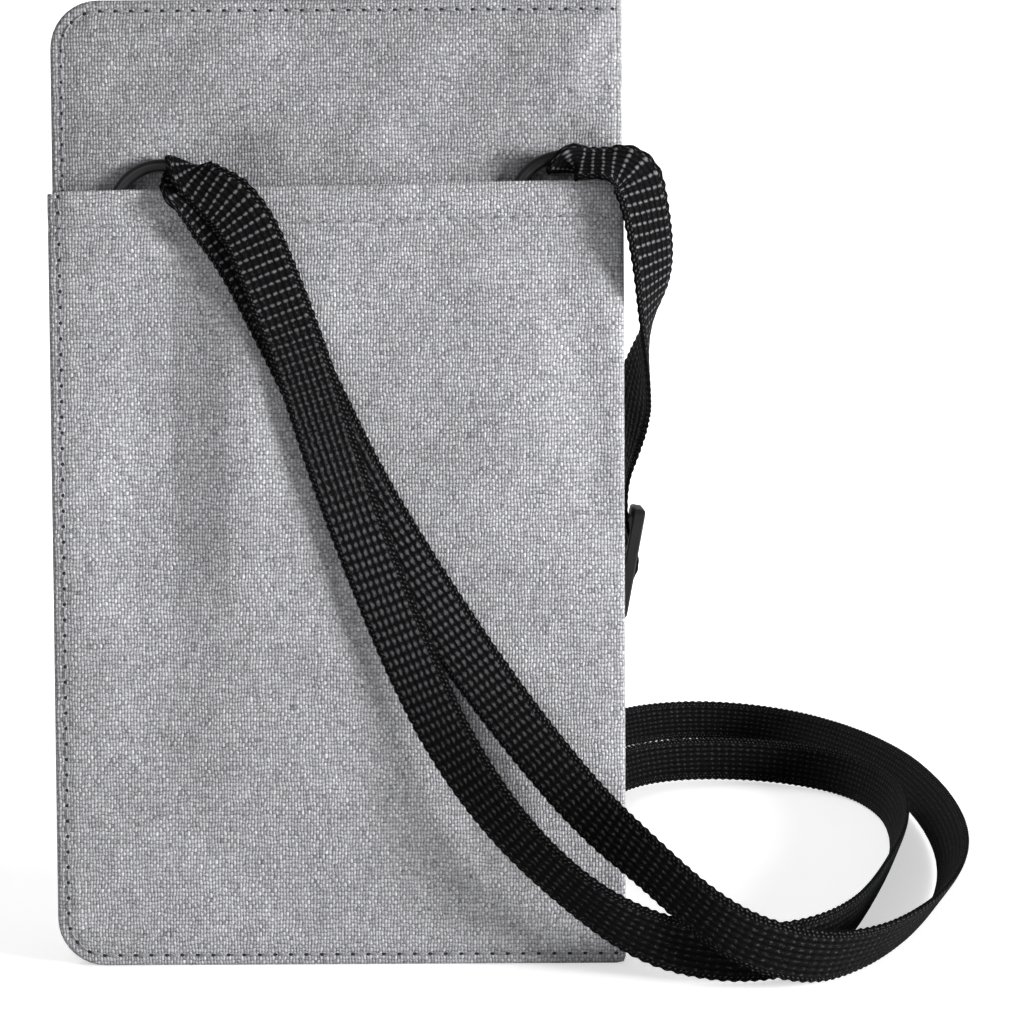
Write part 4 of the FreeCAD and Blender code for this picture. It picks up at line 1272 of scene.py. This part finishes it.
class POUCH_OT_lining(bpy.types.Operator):
    """Linings, the passport pocket and the card slots inside"""
    bl_idname = "pouch.lining"
    bl_label = "Lining and Inside Pockets"

    def execute(self, context):
        self.lining("back", BACK_LINING_HIGH.y, -1, BACK_LINING_HIGH.x, "back_half")
        self.lining("front", FRONT_LINING_LOW.y, 1, FRONT_LINING_HIGH.x, "front_half")
        self.panel("passport_pocket_panel", "back_half", 1)
        for slot in ("lower", "middle", "upper"):
            self.panel("card_slot_" + slot, "front_half", -1)
        return {"FINISHED"}

    def lining(self, side, face, facing, right, body):
        """Cloth over the board, slack in slow waves, with its outline a little inside the cover's."""
        inset = 0.6 * MM
        x, z = book_grid(inset, right + inset, None, 2.5 * MM)
        x = np.minimum(x, right)
        slack = 0.14 + 0.06 * (1 + np.sin(x / MM * 0.21 + 1) * np.sin(z / MM * 0.17))
        y = face + facing * slack * MM * edge_fade(x, z, 5 * MM)
        piece = grid_piece(side + "_lining_cloth", spread(x, y, z), spread(x, z) / MM,
                           finishes()["black lining"], flip=facing < 0)
        thicken(piece, 0.4 * MM)
        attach(piece, body)
        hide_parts(side + "_cover_lining")

    def panel(self, node, body, facing):
        """A pocket panel: slack cloth, rolled thicker along its hemmed upper edge."""
        low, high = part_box(node)
        cloth = 0.24 * MM
        s = np.linspace(0, 1, 60)[None, :]
        t = np.linspace(0, 1, 60)[:, None]
        x = low.x + (high.x - low.x) * s
        z = low.z + (high.z - low.z) * t
        hem = 0.22 * MM * bell(high.z - z - 1.5 * MM, 1.4 * MM)
        slack = 0.10 * MM * np.sin(np.pi * s) * np.sin(np.pi * t ** 2)
        slack = slack * (1 + 0.4 * np.sin(5 * s * t * np.pi))
        face = high.y if facing > 0 else low.y
        y = face + facing * (hem + slack - cloth)
        piece = grid_piece(node.replace("_panel", "") + "_cloth", spread(x, y, z), spread(x, z) / MM,
                           finishes()["black lining"], flip=facing > 0)
        thicken(piece, cloth)
        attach(piece, body)
        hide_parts(node)
        ends = np.array([[end, 0, high.z - 3 * MM] for end in (low.x + 1 * MM, high.x - 1 * MM)])
        seam(node + "_seam", ends, face, -facing, lambda at_x, at_z: THREAD_RISE, body, "black thread")


# ---- stage ----

FLOOR_GLOW = 0.54    # brightness that the paper adds to itself in the view
ROOM_LIGHT = 0.17    # strength of the light from all round


class POUCH_OT_stage(bpy.types.Operator):
    """Pale floor and backdrop, soft lamps and the camera"""
    bl_idname = "pouch.stage"
    bl_label = "Stage"

    def execute(self, context):
        scene = context.scene
        scene.view_settings.view_transform = "Standard"
        self.floor()
        self.world(scene)
        self.lamps()
        self.camera(scene)
        return {"FINISHED"}

    def floor(self):
        """Paper laid flat and turned up behind in a quarter circle, brightened only in the view."""
        _, _, _, stage = settings()
        turn = np.linspace(0, np.pi / 2, 12)
        bend, back = 0.5, 1.2
        y = np.concatenate([[-1.5, back], back + bend * np.sin(turn[1:]), [back + bend]])[:, None]
        z = np.concatenate([[0, 0], bend - bend * np.cos(turn[1:]), [3.0]])[:, None] - 0.02 * MM
        f = Finish("studio paper", 0.9, 0.1)
        grain = f.noise(f.object_axes(), 40.0, 2.0)
        f.finish(f.shades(grain, stage.floor, (0.3, 1.0), (0.7, 1.02)))
        path = f.tree.nodes.new("ShaderNodeLightPath")
        depth = f.split(f.object_axes())[1]
        behind = f.math("SMOOTH_MAX", f.times(f.minus(depth, 0.25), 2.0), 0.0, 0.1)
        glow = f.plus(FLOOR_GLOW, f.math("MINIMUM", behind, 0.5))
        f.shader.inputs["Emission Color"].default_value = (1, 1, 1, 1)
        f.put(f.shader.inputs["Emission Strength"], f.times(path.outputs["Is Camera Ray"], glow))
        grid_piece("studio_floor", spread(np.array([-3.0, 3.0]), y, z), None, f.material)

    def world(self, scene):
        """Even light from all round, with a white view past the paper."""
        world = bpy.data.worlds.new("studio")
        scene.world = world
        world.use_nodes = True
        nodes, links = world.node_tree.nodes, world.node_tree.links
        background = nodes["Background"]
        background.inputs["Color"].default_value = (1, 1, 1, 1)
        path = nodes.new("ShaderNodeLightPath")
        level = nodes.new("ShaderNodeMapRange")
        level.inputs["To Min"].default_value = ROOM_LIGHT
        level.inputs["To Max"].default_value = 1.0
        links.new(path.outputs["Is Camera Ray"], level.inputs["Value"])
        links.new(level.outputs[0], background.inputs["Strength"])

    def lamp(self, name, place, size, power):
        """A round soft lamp turned to the middle of the wallet."""
        lamp = bpy.data.lights.new(name, "AREA")
        lamp.shape = "DISK"
        lamp.size = size
        lamp.energy = power
        holder = bpy.data.objects.new(name, lamp)
        holder.location = place
        aim = Vector((0, 0, TOP / 2)) - Vector(place)
        holder.rotation_euler = aim.to_track_quat("-Z", "Y").to_euler()
        bpy.context.collection.objects.link(holder)

    def lamps(self):
        """Key lamp low at the spine's side, fill lamp in front and a lamp behind."""
        _, _, _, stage = settings()
        self.lamp("key lamp", (0.9, -0.46, 0.22), 0.3, stage.key_power)
        self.lamp("fill lamp", (-0.45, -0.95, 0.35), 0.6, stage.fill_power)
        self.lamp("back lamp", (-0.35, 0.9, 0.75), 0.6, stage.back_power)

    def camera(self, scene):
        """The view: from in front of the slip pocket, looking slightly down."""
        camera = bpy.data.cameras.new("view camera")
        camera.sensor_width = 36
        camera.lens = 72.1
        camera.shift_y = -0.0825
        camera.clip_start = 0.01
        holder = bpy.data.objects.new("view camera", camera)
        holder.location = (0.0360, -0.431, 0.130)
        holder.rotation_euler = (math.radians(90 - 2.5), math.radians(0.3), 0)
        bpy.context.collection.objects.link(holder)
        scene.camera = holder


# ---- add-on ----

STEPS = (POUCH_OT_stage, POUCH_OT_neck_strap, POUCH_OT_back_cover, POUCH_OT_slip_pocket, POUCH_OT_spine,
         POUCH_OT_front_cover, POUCH_OT_topstitching, POUCH_OT_rings, POUCH_OT_hardware,
         POUCH_OT_zip_tapes, POUCH_OT_lining)
GROUPS = {"pouch_canvas": PouchCanvasSettings, "pouch_stitch": PouchStitchSettings,
          "pouch_strap": PouchStrapSettings, "pouch_stage": PouchStageSettings}


class POUCH_PT_panel(bpy.types.Panel):
    """Sizes, colours and building steps of the neck pouch"""
    bl_idname = "POUCH_PT_panel"
    bl_label = "Neck Pouch"
    bl_space_type = "VIEW_3D"
    bl_region_type = "UI"
    bl_category = "Pouch"

    def draw(self, context):
        """Every size and colour in its group's box, then a button for each step."""
        for name, group in GROUPS.items():
            box = self.layout.box()
            for prop in group.__annotations__:
                box.prop(getattr(context.scene, name), prop)
        for step in STEPS:
            self.layout.operator(step.bl_idname)


def register():
    """Adds the classes and the groups of settings."""
    for kind in (*GROUPS.values(), *STEPS, POUCH_PT_panel):
        bpy.utils.register_class(kind)
    for name, group in GROUPS.items():
        setattr(bpy.types.Scene, name, PointerProperty(type=group))


def unregister():
    """Takes them away again."""
    for name in GROUPS:
        delattr(bpy.types.Scene, name)
    for kind in reversed((*GROUPS.values(), *STEPS, POUCH_PT_panel)):
        bpy.utils.unregister_class(kind)


def main():
    """Builds every piece in order."""
    register()
    for step in STEPS:
        getattr(bpy.ops.pouch, step.bl_idname.split(".")[1])()


if __name__ == "__main__":
    main()
